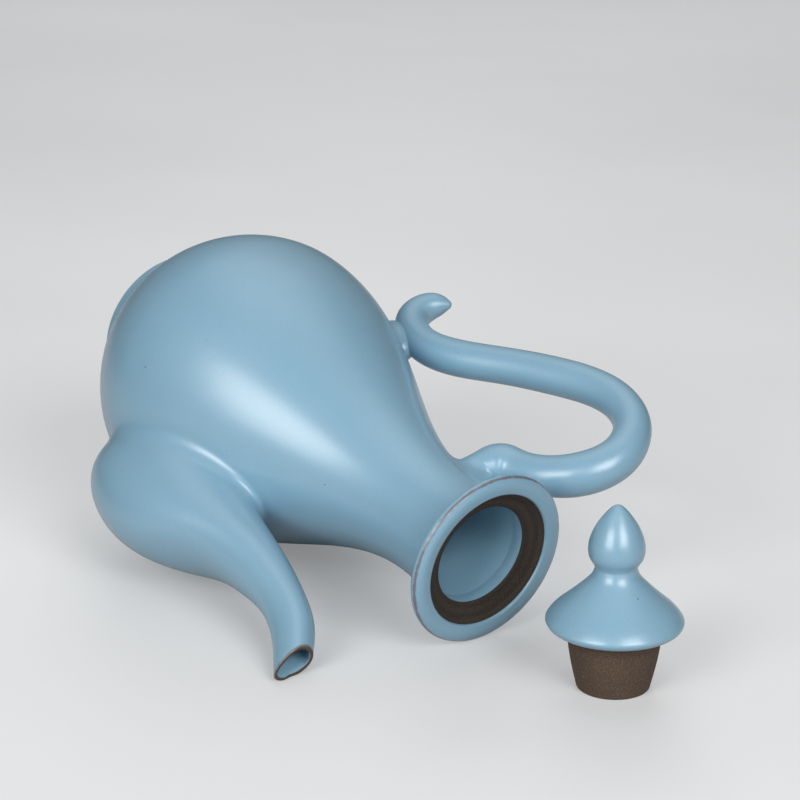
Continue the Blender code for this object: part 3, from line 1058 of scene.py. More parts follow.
@dataclass
class StrainerTool(GeometryTool):
    """Drills a ring of small holes round a middle one through the belly wall, inside the spout's root.

    Args:
        count: holes in the ring.
        circle_r: radius of the ring.
        hole_r: radius of a hole.
        hole_steps: faces round a hole.
        height: height of the middle hole.
        depth: length of the drill.
    """

    count: int = 6
    circle_r: float = 0.0105
    hole_r: float = 0.0030
    hole_steps: int = 20
    height: float = 0.094
    depth: float = 0.025

    def __post_init__(self) -> None:
        """Build the tree."""
        super().__init__("strainer_drill", counts=("Holes", "Hole Steps"),
                         lengths=("Circle Radius", "Hole Radius", "Reach", "Height", "Depth"))
        sheet = self.sheet
        given = self.given
        values = {"Vertices": given["Holes"], "Radius": given["Circle Radius"]}
        ring = sheet.node("GeometryNodeMeshCircle", values)["Mesh"]
        middle = sheet.node("GeometryNodeMeshLine", {"Count": 1})["Mesh"]
        places = sheet.node("GeometryNodeJoinGeometry", {"Geometry": [ring, middle]})["Geometry"]
        values = {"Vertices": given["Hole Steps"], "Radius": given["Hole Radius"], "Depth": given["Depth"]}
        drill = sheet.node("GeometryNodeMeshCylinder", values)["Mesh"]
        values = {"Points": places, "Instance": drill}
        drills = sheet.node("GeometryNodeInstanceOnPoints", values)["Instances"]
        solid = sheet.node("GeometryNodeRealizeInstances", {"Geometry": drills})["Geometry"]
        centre = sheet.node("ShaderNodeCombineXYZ", {"X": given["Reach"], "Z": given["Height"]})[0]
        values = {"Geometry": solid, "Translation": centre, "Rotation": (0.0, QUARTER, 0.0)}
        solid = sheet.node("GeometryNodeTransform", values)["Geometry"]
        values = {"Mesh 1": given["Geometry"], "Mesh 2": solid}
        self.hand_over(sheet.node("GeometryNodeMeshBoolean", values, operation="DIFFERENCE")["Mesh"])

    def drill(self, mesh: bpy.types.Mesh, reach: float, finish: bpy.types.Material) -> bpy.types.Mesh:
        """Drill the holes.

        Args:
            mesh: the body, upright about Z with its spout towards +X.
            reach: distance of the wall's middle from the axis.
            finish: the body's material.

        Returns:
            The drilled body.
        """
        values = {"Holes": self.count, "Hole Steps": self.hole_steps, "Circle Radius": self.circle_r,
                  "Hole Radius": self.hole_r, "Reach": reach, "Height": self.height, "Depth": self.depth,
                  "Finish": finish}
        return self.run(mesh.name, mesh, values)


@dataclass
class ThrownPot:
    """Body, foot and mouth of the pot, which are turned about one axis."""

    form: PotForm
    wheel: TurningWheel
    place: Matrix
    steps: int = 224

    # Foot ring: it spreads by its draft up to the body, by shares of it at its waist and hem, and its rounded
    # standing edge is wiped bare. The waist's heights outside and inside are shares of the foot's, and the
    # rounding's middle point is in and up by shares of it
    foot_r: float = 0.0368
    foot_height: float = 0.0065
    foot_width: float = 0.0065
    foot_draft: float = 0.0012
    foot_waist: float = 0.4
    foot_hem: float = 0.1
    foot_waist_z: Pair = (0.55, 0.5)
    foot_round: float = 0.0011
    foot_round_middle: Pair = (0.25, 0.3)
    foot_flat_in: float = 0.001
    foot_bare_height: float = 0.0007

    # Underside and heel of the body, over the foot's top and held back from the foot by the lap
    underside: Points = ((0.0, 0.0006), (0.012, 0.0005), (0.022, 0.0))
    lap: float = 0.0004
    heel_rise: float = 0.0006
    heel_height: float = 0.0025
    heel_end: Points = ((-0.0006, -0.0008),)

    # Floor inside: its rounding begins at a lead over it, and is out from the wall and up from the floor
    floor_z: float = 0.0135
    floor_lead: float = 0.006
    floor_round: Points = ((-0.0022, 0.0024), (-0.0080, 0.0004))
    floor_flat_r: float = 0.012

    # Points up the outer wall, down the inner one and up the neck's flare
    wall_rows: int = 170
    inside_rows: int = 90
    flare_rows: int = 22

    # Lip: the neck's flare ends in and down from its widest place, and the rest is out and up from there
    lip_r: float = 0.0376
    lip_z: float = 0.2376
    lip_back: Pair = (0.0014, 0.0019)
    lip_side: Points = ((-0.0007, -0.00165), (-0.0002, -0.0009), (0.0, -0.0001), (-0.00005, 0.0006),
                        (-0.00025, 0.0011))
    lip_ridge: Points = ((-0.00035, 0.00128), (-0.0005, 0.0015), (-0.0008, 0.00173))
    lip_face: Points = ((-0.0010, 0.0018), (-0.0020, 0.0023), (-0.0036, 0.0027), (-0.0053, 0.0027))
    lip_thin_at: Points = ((-0.0003, 0.0012),)
    lip_thin_reach: float = 0.0017

    # Bare lid seat: out and up from its outer edge, and for the bore from the foot of its cone
    seat_outer_r: float = 0.0296
    seat_z: float = 0.2398
    seat_edge: Points = ((0.0014, 0.0003), (0.0006, 0.0001), (0.0001, -0.0004), (0.0, -0.0009))
    seat_cone: Points = ((-0.0001, -0.0011), (-0.0014, -0.0024), (-0.0032, -0.0036), (-0.0052, -0.0043))
    seat_thin_reach: float = 0.0004
    seat_thin: float = 0.5
    seat_inner_r: float = 0.0221
    seat_depth: float = 0.0050
    bore_edge: Points = ((0.0004, 0.0002), (-0.0001, -0.0002), (-0.0003, -0.0010))
    bore_lead: Points = ((-0.0003, -0.0012), (-0.0005, -0.0026))

    # Distance from a joint over which pooled glaze fades
    pool_reach: float = 0.0030

    def body_outline(self) -> Outline:
        """Section of the body: underside, outer wall, inner wall and floor.

        Returns:
            The outline, from axis to axis.
        """
        form = self.form
        base = self.foot_height
        heel = base + self.heel_height
        outer = np.linspace(heel, form.neck_top, self.wall_rows)
        inner = np.linspace(form.neck_top, self.floor_z + self.floor_lead, self.inside_rows)
        middle, *under = moved(self.underside, 0.0, base)
        outline = Outline().add([middle])
        outline.smooth([*under, (self.foot_r - self.foot_width, base - self.lap)], count=8)
        outline.smooth([(self.foot_r + self.foot_waist * self.foot_draft, base),
                        (self.foot_r + self.foot_draft - self.lap, base + self.heel_rise),
                        *moved(self.heel_end, float(form.radius(heel)), heel)], count=6)
        outline.add(zip(form.radius(outer), outer))
        inside = form.radius(inner) - form.wall_at(inner)
        outline.add(zip(inside, inner))
        rounding = moved(self.floor_round, float(inside[-1]), self.floor_z)
        outline.smooth([*rounding, (self.floor_flat_r, self.floor_z)], count=10)
        return outline.add([(0.0, self.floor_z)])

    def foot_outline(self) -> Outline:
        """Section of the foot ring, with its standing edge wiped bare.

        Returns:
            The outline, as a ring.
        """
        outer = self.foot_r
        inner = self.foot_r - self.foot_width
        top = self.foot_height
        low = self.foot_bare_height
        soft = self.foot_round
        draft = self.foot_draft
        waist = self.foot_waist * draft
        hem = self.foot_hem * draft
        waist_out_z, waist_in_z = (share * top for share in self.foot_waist_z)
        soft_in, soft_up = (share * soft for share in self.foot_round_middle)
        flat_in = soft + self.foot_flat_in
        outline = Outline()
        outline.smooth([(outer + draft, top), (outer + waist, waist_out_z), (outer + hem, low)], count=12)
        outline.smooth([(outer, low - HAIR), (outer - soft_in, soft_up),
                        (outer - soft, 0.0)], count=7, bare=WIPED)
        outline.add([(outer - flat_in, 0.0), (inner + flat_in, 0.0)], bare=WIPED)
        outline.smooth([(inner + soft, 0.0), (inner + soft_in, soft_up),
                        (inner, low)], count=7, bare=WIPED)
        outline.smooth([(inner - hem, low + HAIR), (inner - waist, waist_in_z),
                        (inner - draft, top - self.lap)], count=10)
        return outline.close()

    def mouth_outline(self) -> Outline:
        """Section of the mouth: flared neck, lip with a thin ridge, rolled face, bare lid seat and bore.

        Returns:
            The outline, as a ring.
        """
        form = self.form
        lip = (self.lip_r, self.lip_z)
        seat = (self.seat_outer_r, self.seat_z)
        cone_foot = (self.seat_inner_r, self.seat_z - self.seat_depth)
        neck = float(form.radius(form.neck_top))
        back_in, back_down = self.lip_back
        outline = Outline()
        for share in np.sin(np.linspace(0.0, QUARTER, self.flare_rows)):
            out = neck + (self.lip_r - back_in - neck) * (1.0 - sqrt(1.0 - min(share, 1.0) ** 2))
            outline.add([(out, form.neck_top + (self.lip_z - back_down - form.neck_top) * share)])
        outline.smooth(moved(self.lip_side, *lip), count=16)
        outline.smooth(moved(self.lip_ridge, *lip), count=5)
        outline.smooth(moved(self.lip_face, *lip) + moved(self.seat_edge, *seat), count=32)
        cone = moved(self.seat_cone, *seat) + moved(self.bore_edge, *cone_foot)
        (thinnest,) = moved(self.lip_thin_at, *lip)
        outline.thin_near(thinnest, self.lip_thin_reach)
        outline.thin_near((self.seat_outer_r, cone[0][1]), self.seat_thin_reach, self.seat_thin)
        outline.smooth(cone, count=36, bare=WIPED)
        outline.smooth(moved(self.bore_lead, *cone_foot) + [(neck - form.neck_wall, form.neck_top)], count=14)
        return outline.close()

    def build(self, finishes: Finishes, strainer: StrainerTool, seams: np.ndarray) -> None:
        """Turn the three pieces, drill the strainer and lay them down.

        Args:
            finishes: material for each slot.
            strainer: the drill for the spout's strainer.
            seams: points on the upright body's joints, where glaze pools.
        """
        jobs = (("pot_body", self.body_outline(), "body_shell", Slot.BODY),
                ("pot_foot", self.foot_outline(), "foot_ring", Slot.FOOT),
                ("pot_mouth", self.mouth_outline(), "mouth_rim", Slot.RIM))
        for name, outline, node, slot in jobs:
            mesh = self.wheel.turn(name, outline, self.steps, finishes[slot])
            if slot is Slot.BODY:
                reach = float(self.form.radius(strainer.height)) - 0.5 * self.form.wall
                mesh = strainer.drill(mesh, reach, finishes[slot])
                self._pool(mesh, seams)
            set_piece(name, mesh, self.place, Body.POT, node)

    def _pool(self, mesh: bpy.types.Mesh, seams: np.ndarray) -> None:
        """Let glaze pool on a mesh near some points.

        Args:
            mesh: the mesh, upright.
            seams: the points.
        """
        tree = KDTree(len(seams))
        for i, point in enumerate(seams):
            tree.insert(point, i)
        tree.balance()
        away = np.array([tree.find(point)[2] for point in points_of(mesh)])
        set_values(mesh, POOL, pooled(away, self.pool_reach))


@dataclass
class Spout:
    """Hollow spout with a full root, a slender S-bend and a tip that is cut level with the foot."""

    form: PotForm
    place: Matrix

    # Distance from the axis and height of the edge towards the neck and of the outer edge, from root to tip,
    # and half the width between them
    inner_edge: Points = ((0.038, 0.120), (0.0455, 0.1345), (0.0500, 0.1500), (0.0555, 0.1730),
                          (0.0625, 0.1960), (0.0705, 0.2135), (0.0793, 0.2243))
    outer_edge: Points = ((0.046, 0.054), (0.0820, 0.0600), (0.0965, 0.0950), (0.0855, 0.1350),
                          (0.0793, 0.1700), (0.0840, 0.2005), (0.0984, 0.2243))
    half_width: tuple[float, ...] = (0.0235, 0.0240, 0.0215, 0.0160, 0.0112, 0.0082, 0.0064)

    # Thickness of the wall, and how far the tip's section is pointed, from 0 to 1
    wall_root: float = 0.0065
    wall_tip: float = 0.0017
    point: float = 0.30

    # Points round a section, tries along the spout to find the belly, and rows, which crowd towards the root
    steps: int = 112
    tries: int = 900
    rows: int = 150
    row_spread: float = 1.15
    bore_rows: int = 70

    # Root: sunk into the wall to a depth, with a hollow curve that reaches up it and spreads on the belly
    sunk_rows: int = 3
    depth: float = 0.0012
    fillet_rows: int = 26
    fillet_reach: float = 0.0062
    fillet_width: float = 0.0058
    fillet_rounds: int = 3

    # Cut tip: its edge bulges by a share of its width; the cut has waves of a height, a number round and an
    # angle, and a nick at an angle, all of which fade along the spout
    edge_rows: int = 9
    edge_bulge: float = 0.28
    cut_waves: tuple[Row, ...] = ((0.00035, 2.0, 0.6), (0.0002, 3.0, -0.9))
    nick_depth: float = 0.0007
    nick_at: float = 1.25
    nick_width: float = 0.30
    cut_fade: float = 0.010

    # Distances over which the glaze is thin at the tip, and over which it pools at the belly
    tip_thin_reach: float = 0.0012
    pool_reach: float = 0.0035

    curve: NaturalCurve = field(init=False)

    def __post_init__(self) -> None:
        """Solve the two edges and the width between them as one curve."""
        edges = zip(self.inner_edge, self.outer_edge, self.half_width)
        self.curve = NaturalCurve([(*inner, *outer, width) for inner, outer, width in edges])

    @property
    def angles(self) -> np.ndarray:
        """Angles of the points round a section."""
        return np.linspace(0.0, TURN, self.steps, endpoint=False)

    def sections(self, along: np.ndarray, angles: np.ndarray, bore: bool) -> tuple[np.ndarray, np.ndarray]:
        """Points of the oval sections.

        Args:
            along: distance along the spout of each point.
            angles: angle in the section of each point; 0 is the outer edge.
            bore: True for the inside of the wall.

        Returns:
            The points, and the middles of their sections.
        """
        row = self.curve.at(along)
        share = along / self.curve.length
        wall = (self.wall_root + (self.wall_tip - self.wall_root) * share) if bore else np.zeros_like(share)
        middle = 0.5 * (row[..., 0:2] + row[..., 2:4])
        reach = 0.5 * (row[..., 2:4] - row[..., 0:2])
        size = np.linalg.norm(reach, axis=-1)
        reach = reach * ((size - wall) / size)[..., None]
        lean = 1.0 - self.point * share ** 3 * np.cos(angles)
        plane = middle + reach * np.cos(angles)[..., None]
        side = (row[..., 4] - wall) * lean * np.sin(angles)
        points = np.stack([plane[..., 0], side, plane[..., 1]], axis=-1)
        middles = np.stack([middle[..., 0], np.zeros_like(side), middle[..., 1]], axis=-1)
        return points, middles

    def wall_points(self, bore: bool, rows: int) -> np.ndarray:
        """One side of the wall, from where it leaves the belly to the tip.

        Args:
            bore: True for the inside of the wall.
            rows: rows of points.

        Returns:
            Points as rows by steps.
        """
        tries = np.linspace(0.0, self.curve.length, self.tries)
        points, _ = self.sections(*np.meshgrid(tries, self.angles, indexing="ij"), bore)
        away = self.form.outside(points)
        sunk = np.linspace(-self.depth, 0.0, self.sunk_rows, endpoint=False)
        lean = np.linspace(0.0, QUARTER, self.fillet_rows)
        targets = np.concatenate([sunk, self.fillet_reach * (1.0 - np.cos(lean))])
        last = self.tries - 1 - np.argmax(away[::-1] < -self.depth, axis=0)
        near = np.zeros((len(targets), self.steps))
        for i in range(self.steps):
            leaving = np.maximum.accumulate(away[last[i]:, i]) + TINY * np.arange(self.tries - last[i])
            near[:, i] = np.interp(targets, leaving, tries[last[i]:])
        share = np.linspace(0.0, 1.0, rows - len(targets) + 1)[1:, None] ** self.row_spread
        along = np.concatenate([near, near[-1] + (self.curve.length - near[-1]) * share])
        points, middles = self.sections(along, np.broadcast_to(self.angles, along.shape), bore)
        if not bore:
            points = self.fillet(points, middles)
        return self.form.sink_into_wall(points, self.depth)

    def fillet(self, points: np.ndarray, middles: np.ndarray) -> np.ndarray:
        """Spread the root on to the belly in a hollow curve, as clay is smoothed over the joint.

        Args:
            points: the plain wall, as rows by steps.
            middles: middles of the sections that the points belong to.

        Returns:
            The points, moved along the belly's surface at the distance that they had from it.
        """
        form = self.form
        away = form.outside(points)
        near = np.clip((self.fillet_reach - away) / self.fillet_reach, 0.0, 1.0)
        grow = self.fillet_width * (1.0 - np.sqrt(1.0 - near ** 2))
        facing = form.normal(points)
        out = points - middles
        out -= facing * np.sum(out * facing, axis=-1, keepdims=True)
        spread = points + out / np.linalg.norm(out, axis=-1, keepdims=True) * grow[..., None]
        for _ in range(self.fillet_rounds):
            drifted = (form.outside(spread) - away) * (near > 0.0)
            spread -= form.normal(spread) * drifted[..., None]
        return spread

    def edge_points(self, outer: np.ndarray, inner: np.ndarray) -> np.ndarray:
        """Rounded cut edge of the tip.

        Args:
            outer: last row of the outside.
            inner: last row of the inside.

        Returns:
            The rows between them.
        """
        share = np.linspace(0.0, 1.0, self.edge_rows + 2)[1:-1, None, None]
        points = outer[None] + (inner - outer)[None] * share
        width = np.linalg.norm(inner - outer, axis=-1)
        points[..., 2] += self.edge_bulge * width[None, :] * np.sqrt(np.sin(pi * share[..., 0]))
        return points

    def hand_cut(self, rows: np.ndarray) -> np.ndarray:
        """Give the tip the slight waves of a cut made by hand, fading out along the spout.

        Args:
            rows: points as rows by steps.

        Returns:
            The points with the waves.
        """
        wave = sum(height * np.sin(count * self.angles + turn) for height, count, turn in self.cut_waves)
        wave -= self.nick_depth * np.exp(-((self.angles - self.nick_at) / self.nick_width) ** 2)
        below = rows[..., 2].max() - rows[..., 2]
        waved = rows.copy()
        waved[..., 2] += np.clip(1.0 - below / self.cut_fade, 0.0, 1.0) ** 2 * wave[None, :]
        return waved

    def build(self, finish: bpy.types.Material) -> np.ndarray:
        """Make the spout and lay it down.

        Args:
            finish: its material.

        Returns:
            Points of its joint with the upright body.
        """
        outer = self.wall_points(False, self.rows)
        bore = self.wall_points(True, self.bore_rows)[::-1]
        edge = self.edge_points(outer[-1], bore[0])
        rows = self.hand_cut(np.concatenate([outer, edge, bore]))
        mesh = ring_mesh("pot_spout", rows)
        away = self.form.outside(outer)
        bare, thin, pool = np.zeros((3, *rows.shape[:2]))
        edge_end = self.rows + self.edge_rows
        bare[self.rows + 1:edge_end] = 1.0
        to_tip = np.linalg.norm(outer - outer[-1][None], axis=-1)
        thin[:self.rows] = np.clip(1.0 - to_tip / self.tip_thin_reach, 0.0, 1.0)
        thin[self.rows:edge_end] = 1.0
        pool[:self.rows] = pooled(away, self.pool_reach)
        for name, values in ((BARE, bare), (THIN, thin), (POOL, pool)):
            set_values(mesh, name, values.ravel())
        mesh.materials.append(finish)
        set_piece("pot_spout", face_outwards(mesh), self.place, Body.POT, "spout")
        return outer[np.argmin(np.abs(away), axis=0), np.arange(self.steps)]


@dataclass
class CoilTool(GeometryTool):
    """Rolls a round coil along a path, smooths its root on to the pot's neck and evens out its crook.

    Args:
        form: rule of the body.
        root_fade: share of the root's length over which it is smoothed in full.
        crook_fade: share of the crook's reach over which it is evened out in full.
        clear_band: distance from the neck at which evening out begins, and at which it is full.
        start_band: distance along the coil at which evening out begins, and at which it is full.
        rounds: times that the crook is evened out.
        stride: rows of points to each neighbour that counts.
    """

    form: PotForm
    root_fade: float = 0.6
    crook_fade: float = 0.7
    clear_band: Pair = (0.0002, 0.0016)
    start_band: Pair = (0.001, 0.003)
    rounds: int = 6
    stride: int = 4

    def __post_init__(self) -> None:
        """Build the tree."""
        super().__init__("handle_coil", counts=("Steps Round",), places=("Crook",),
                         lengths=("Fillet Reach", "Fillet Width", "Root Length", "Seat Depth", "Crook Reach",
                                  "Belly Radius", "Belly Height", "Neck Radius", "Neck Height", "Neck Top",
                                  "Neck Flare"))
        sheet = self.sheet
        given = self.given
        path = sheet.node("GeometryNodeMeshToCurve", {"Mesh": given["Geometry"]})["Curve"]
        values = {"Resolution": given["Steps Round"], "Radius": 1.0}
        circle = sheet.node("GeometryNodeCurvePrimitiveCircle", values)["Curve"]
        values = {"Curve": path, "Profile Curve": circle, "Scale": self.read("coil_r"), "Fill Caps": True}
        coil = sheet.node("GeometryNodeCurveToMesh", values)["Mesh"]

        along = self.read(ALONG)
        place = self.position()
        near_root = along.ease(given["Root Length"], self.root_fade * given["Root Length"])
        radius, body = self._radius(place)
        coil = self.keep(coil, "away", (radius - body).at_least(0.0 - given["Seat Depth"]))
        away = self.read("away")
        reach = given["Fillet Reach"]
        near = ((reach - away) / reach).at_least(0.0).at_most(1.0) * near_root
        grow = given["Fillet Width"] * (1.0 - (1.0 - near * near).at_least(0.0).root())
        out = sheet.vector("NORMALIZE", sheet.vector("SUBTRACT", place, self.read("middle", "FLOAT_VECTOR")))
        coil = self.shifted(coil, Offset=sheet.scaled(out, grow))
        coil = self.keep(coil, POOL, near ** 3.0)

        lift = 1.0 + ((body + away) / radius - 1.0) * near_root
        parts = sheet.node("ShaderNodeSeparateXYZ", {0: place})
        values = {"X": parts["X"] * lift, "Y": parts["Y"] * lift, "Z": parts["Z"]}
        coil = self.shifted(coil, Position=sheet.node("ShaderNodeCombineXYZ", values)[0])
        apart = sheet.vector("DISTANCE", place, given["Crook"], result="Value")
        soft = apart.ease(given["Crook Reach"], self.crook_fade * given["Crook Reach"])
        soft = soft * away.ease(*self.clear_band) * along.ease(*self.start_band)
        coil = self.keep(coil, "soft", soft)
        for _ in range(self.rounds):
            coil = self._even_out(coil)
        self.hand_over(self.weld(coil))

    def _even_out(self, coil: Wire) -> Wire:
        """Move the crook's points half-way to the mean of their neighbours along the coil.

        Args:
            coil: the mesh so far, which carries how far each point may move.

        Returns:
            The smoother mesh.
        """
        sheet = self.sheet
        place = self.position()
        index = sheet.node("GeometryNodeInputIndex")["Index"]
        sides = []
        for step in (-self.stride, self.stride):
            values = {"Index": index + step * self.given["Steps Round"], "Value": place}
            side = sheet.node("GeometryNodeFieldAtIndex", values, data_type="FLOAT_VECTOR", domain="POINT")
            sides.append(side["Value"])
        mean = sheet.scaled(sheet.vector("ADD", *sides), 0.5)
        change = sheet.vector("SUBTRACT", mean, place)
        return self.shifted(coil, Offset=sheet.scaled(change, 0.5 * self.read("soft")))

    def _radius(self, place: Wire) -> tuple[Wire, Wire]:
        """How far points are from the pot's axis, and how far its body reaches.

        Args:
            place: the points.

        Returns:
            Their distance from the axis, and the body's radius at their height.
        """
        given = self.given
        parts = self.sheet.node("ShaderNodeSeparateXYZ", {0: place})
        rise = (parts["Z"] - given["Belly Height"]) / (given["Neck Height"] - given["Belly Height"])
        rise = rise.at_least(0.0).at_most(1.0)
        span = given["Belly Radius"] - given["Neck Radius"]
        body = given["Neck Radius"] + span * 0.5 * (1.0 + (rise * pi).cosine())
        open_up = (parts["Z"] - given["Neck Height"]) / (given["Neck Top"] - given["Neck Height"])
        open_up = open_up.at_least(0.0)
        body = body + given["Neck Flare"] * open_up * open_up
        return (parts["X"] * parts["X"] + parts["Y"] * parts["Y"]).root(), body

    def roll(self, name: str, path: bpy.types.Mesh, sizes: Mapping[str, object],
             finish: bpy.types.Material) -> bpy.types.Mesh:
        """Roll one coil.

        Args:
            name: name of the mesh.
            path: chain of points that carry coil_r, middle and along.
            sizes: the inputs that are the coil's own.
            finish: its material.

        Returns:
            The coil's mesh, upright with the pot.
        """
        form = self.form
        values = {"Belly Radius": form.belly_r, "Belly Height": form.belly_z, "Neck Radius": form.neck_r,
                  "Neck Height": form.neck_z, "Neck Top": form.neck_top, "Neck Flare": form.neck_flare,
                  "Finish": finish, **sizes}
        return self.run(name, path, values)


@dataclass
class Handle:
    """Round coil from the neck, up and round to the shoulder, with a curled tail and the pad under it."""

    form: PotForm
    place: Matrix

    # Elbow: it turns about a pivot in its crook, between two angles in degrees, and swings out half-way. The
    # coil's radius is given where it begins, half-way and where it ends
    elbow_away: float = 0.0064
    elbow_z: float = 0.2098
    elbow_r: float = 0.0135
    elbow_from: float = -7.4
    elbow_to: float = 61.8
    elbow_swing: float = 0.0007
    elbow_coil: Row = (0.0070, 0.0095, 0.0084)
    elbow_points: int = 7

    # Root: its lead is sunk into the neck. The coil is cut off at its start, and finer over its length
    root_lead: float = 0.0120
    root_r: float = 0.0082
    root_start: float = 0.0016
    root_length: float = 0.030
    root_samples: int = 150

    # Distance from the body, height and coil radius, from the elbow to the tail's tip, which a cap rounds off
    path: tuple[Row, ...] = (
        (0.0204, 0.2111, 0.0081), (0.0295, 0.2275, 0.0092), (0.0461, 0.2339, 0.0090),
        (0.0653, 0.2250, 0.0082), (0.0750, 0.2031, 0.0082), (0.0644, 0.1748, 0.0085),
        (0.0419, 0.1472, 0.0083), (0.0178, 0.1206, 0.0083), (0.0093, 0.1024, 0.0079),
        (0.0151, 0.0874, 0.0074), (0.0230, 0.0879, 0.0065), (0.0291, 0.0920, 0.0041),
        (0.0316, 0.0944, 0.0018))
    samples: int = 230
    steps: int = 64
    cap_rows: int = 10
    tip_r: float = 2e-5

    # Fillet on the neck, its length along the coil, depth of the seat, and reach of the crook from the pivot
    fillet_reach: float = 0.0113
    fillet_width: float = 0.0091
    fillet_length: float = 0.026
    seat_depth: float = 0.0012
    crook_reach: float = 0.0125

    # Pad between shoulder and coil
    pad_z: float = 0.0955
    pad_half_height: float = 0.0125
    pad_half_width: float = 0.0080
    pad_reach: float = 0.0070
    pad_rows: int = 40
    pad_steps: int = 72

    # Distances from the body of points that count as a joint, and over which glaze pools on the pad
    joint_reach: float = 0.0006
    pad_joint_reach: float = 0.0008
    pool_reach: float = 0.0018

    @property
    def pivot(self) -> float:
        """Distance from the pot's axis of the pivot in the elbow's crook."""
        return float(self.form.radius(self.elbow_z)) + self.elbow_away

    def elbow_rows(self) -> list[Row]:
        """The bend at the root, which turns about the pivot in its crook.

        Returns:
            Place, height and coil radius of its points, after one that is sunk into the neck.
        """
        first, middle, last = self.elbow_coil
        rows = []
        for t in np.linspace(0.0, 1.0, self.elbow_points):
            turn = radians(self.elbow_from + (self.elbow_to - self.elbow_from) * t)
            swing = 4.0 * t * (1.0 - t)
            coil = first * (1.0 - t) * (1.0 - 2.0 * t) + middle * swing + last * t * (2.0 * t - 1.0)
            reach = self.elbow_r + self.elbow_swing * swing
            rows.append((-self.pivot - reach * sin(turn), self.elbow_z - reach * cos(turn), coil))
        start = radians(self.elbow_from)
        x, z, _ = rows[0]
        return [(x + self.root_lead * cos(start), z - self.root_lead * sin(start), self.root_r)] + rows

    def path_mesh(self) -> bpy.types.Mesh:
        """The coil's path, rounded off at the tail.

        Returns:
            A chain of points that carry the coil's radius and their own place.
        """
        rows = [(-float(self.form.radius(z)) - away, z, r) for away, z, r in self.path]
        curve = NaturalCurve(self.elbow_rows() + rows)
        root_end = self.root_start + self.root_length
        near = np.linspace(self.root_start, root_end, self.root_samples, endpoint=False)
        line = curve.at(np.concatenate([near, np.linspace(root_end, curve.length, self.samples)]))
        end = line[-1]
        step = end - line[-2]
        reach = float(np.hypot(step[0], step[1]))
        taper = np.arctan2(-step[2], reach)
        turn = np.linspace(taper, QUARTER, self.cap_rows + 1)[1:]
        ball = end[2] / np.cos(taper)
        ahead = ball * (np.sin(turn) - np.sin(taper))
        cap_places = end[None, :2] + (step[:2] / reach)[None] * ahead[:, None]
        cap = np.column_stack([cap_places, np.maximum(ball * np.cos(turn), self.tip_r)])
        line = np.concatenate([line, cap])
        made = chain_mesh("handle_path", line)
        set_values(made, "coil_r", line[:, 2])
        middle = made.attributes.new("middle", "FLOAT_VECTOR", "POINT")
        middle.data.foreach_set("vector", points_of(made).astype(np.float32).ravel())
        return made

    def pad_mesh(self) -> bpy.types.Mesh:
        """Cushion of clay squeezed between shoulder and coil, sunk a little into the wall.

        Returns:
            The closed mesh.
        """
        low = float(self.form.radius(self.pad_z - self.pad_half_height))
        high = float(self.form.radius(self.pad_z + self.pad_half_height))
        slope = np.arctan2(low - high, 2.0 * self.pad_half_height)
        lean = np.linspace(0.0, pi, self.pad_rows + 2)[1:-1, None]
        angles = np.linspace(0.0, TURN, self.pad_steps, endpoint=False)[None]
        across = np.broadcast_to(-np.cos(lean) * self.pad_reach, (self.pad_rows, self.pad_steps))
        rows = np.stack([across, np.sin(lean) * self.pad_half_width * np.cos(angles),
                         np.sin(lean) * self.pad_half_height * np.sin(angles)], axis=-1)
        turn = np.array(Matrix.Rotation(slope, 3, "Y"))
        centre = np.array([-float(self.form.radius(self.pad_z)), 0.0, self.pad_z])
        rows = self.form.sink_into_wall(rows @ turn.T + centre, self.seat_depth)
        shape = bmesh.new()
        grid = [[shape.verts.new(point) for point in row] for row in rows]
        for first, second in zip(grid, grid[1:]):
            for i in range(self.pad_steps):
                j = (i + 1) % self.pad_steps
                shape.faces.new((first[i], first[j], second[j], second[i]))
        shape.faces.new(grid[0][::-1])
        shape.faces.new(grid[-1])
        made = bpy.data.meshes.new("pot_handle_pad")
        shape.to_mesh(made)
        shape.free()
        return made

    def build(self, coil: CoilTool, finish: bpy.types.Material) -> np.ndarray:
        """Roll the coil, press the pad and lay both down.

        Args:
            coil: the tool that rolls the coil.
            finish: their material.

        Returns:
            Points of the joints with the upright body.
        """
        sizes = {"Steps Round": self.steps, "Fillet Reach": self.fillet_reach,
                 "Fillet Width": self.fillet_width, "Root Length": self.fillet_length,
                 "Seat Depth": self.seat_depth, "Crook": (-self.pivot, 0.0, self.elbow_z),
                 "Crook Reach": self.crook_reach}
        mesh = coil.roll("pot_handle", self.path_mesh(), sizes, finish)
        points = points_of(mesh)
        near_neck = points[np.abs(self.form.outside(points)) < self.joint_reach]
        set_piece("pot_handle", mesh, self.place, Body.POT, "handle")

        mesh = self.pad_mesh()
        points = points_of(mesh)
        away = self.form.outside(points)
        set_values(mesh, POOL, pooled(away, self.pool_reach))
        mesh.materials.append(finish)
        set_piece("pot_handle_pad", face_outwards(mesh), self.place, Body.POT, "handle_pad")
        return np.concatenate([near_neck, points[np.abs(away) < self.pad_joint_reach]])


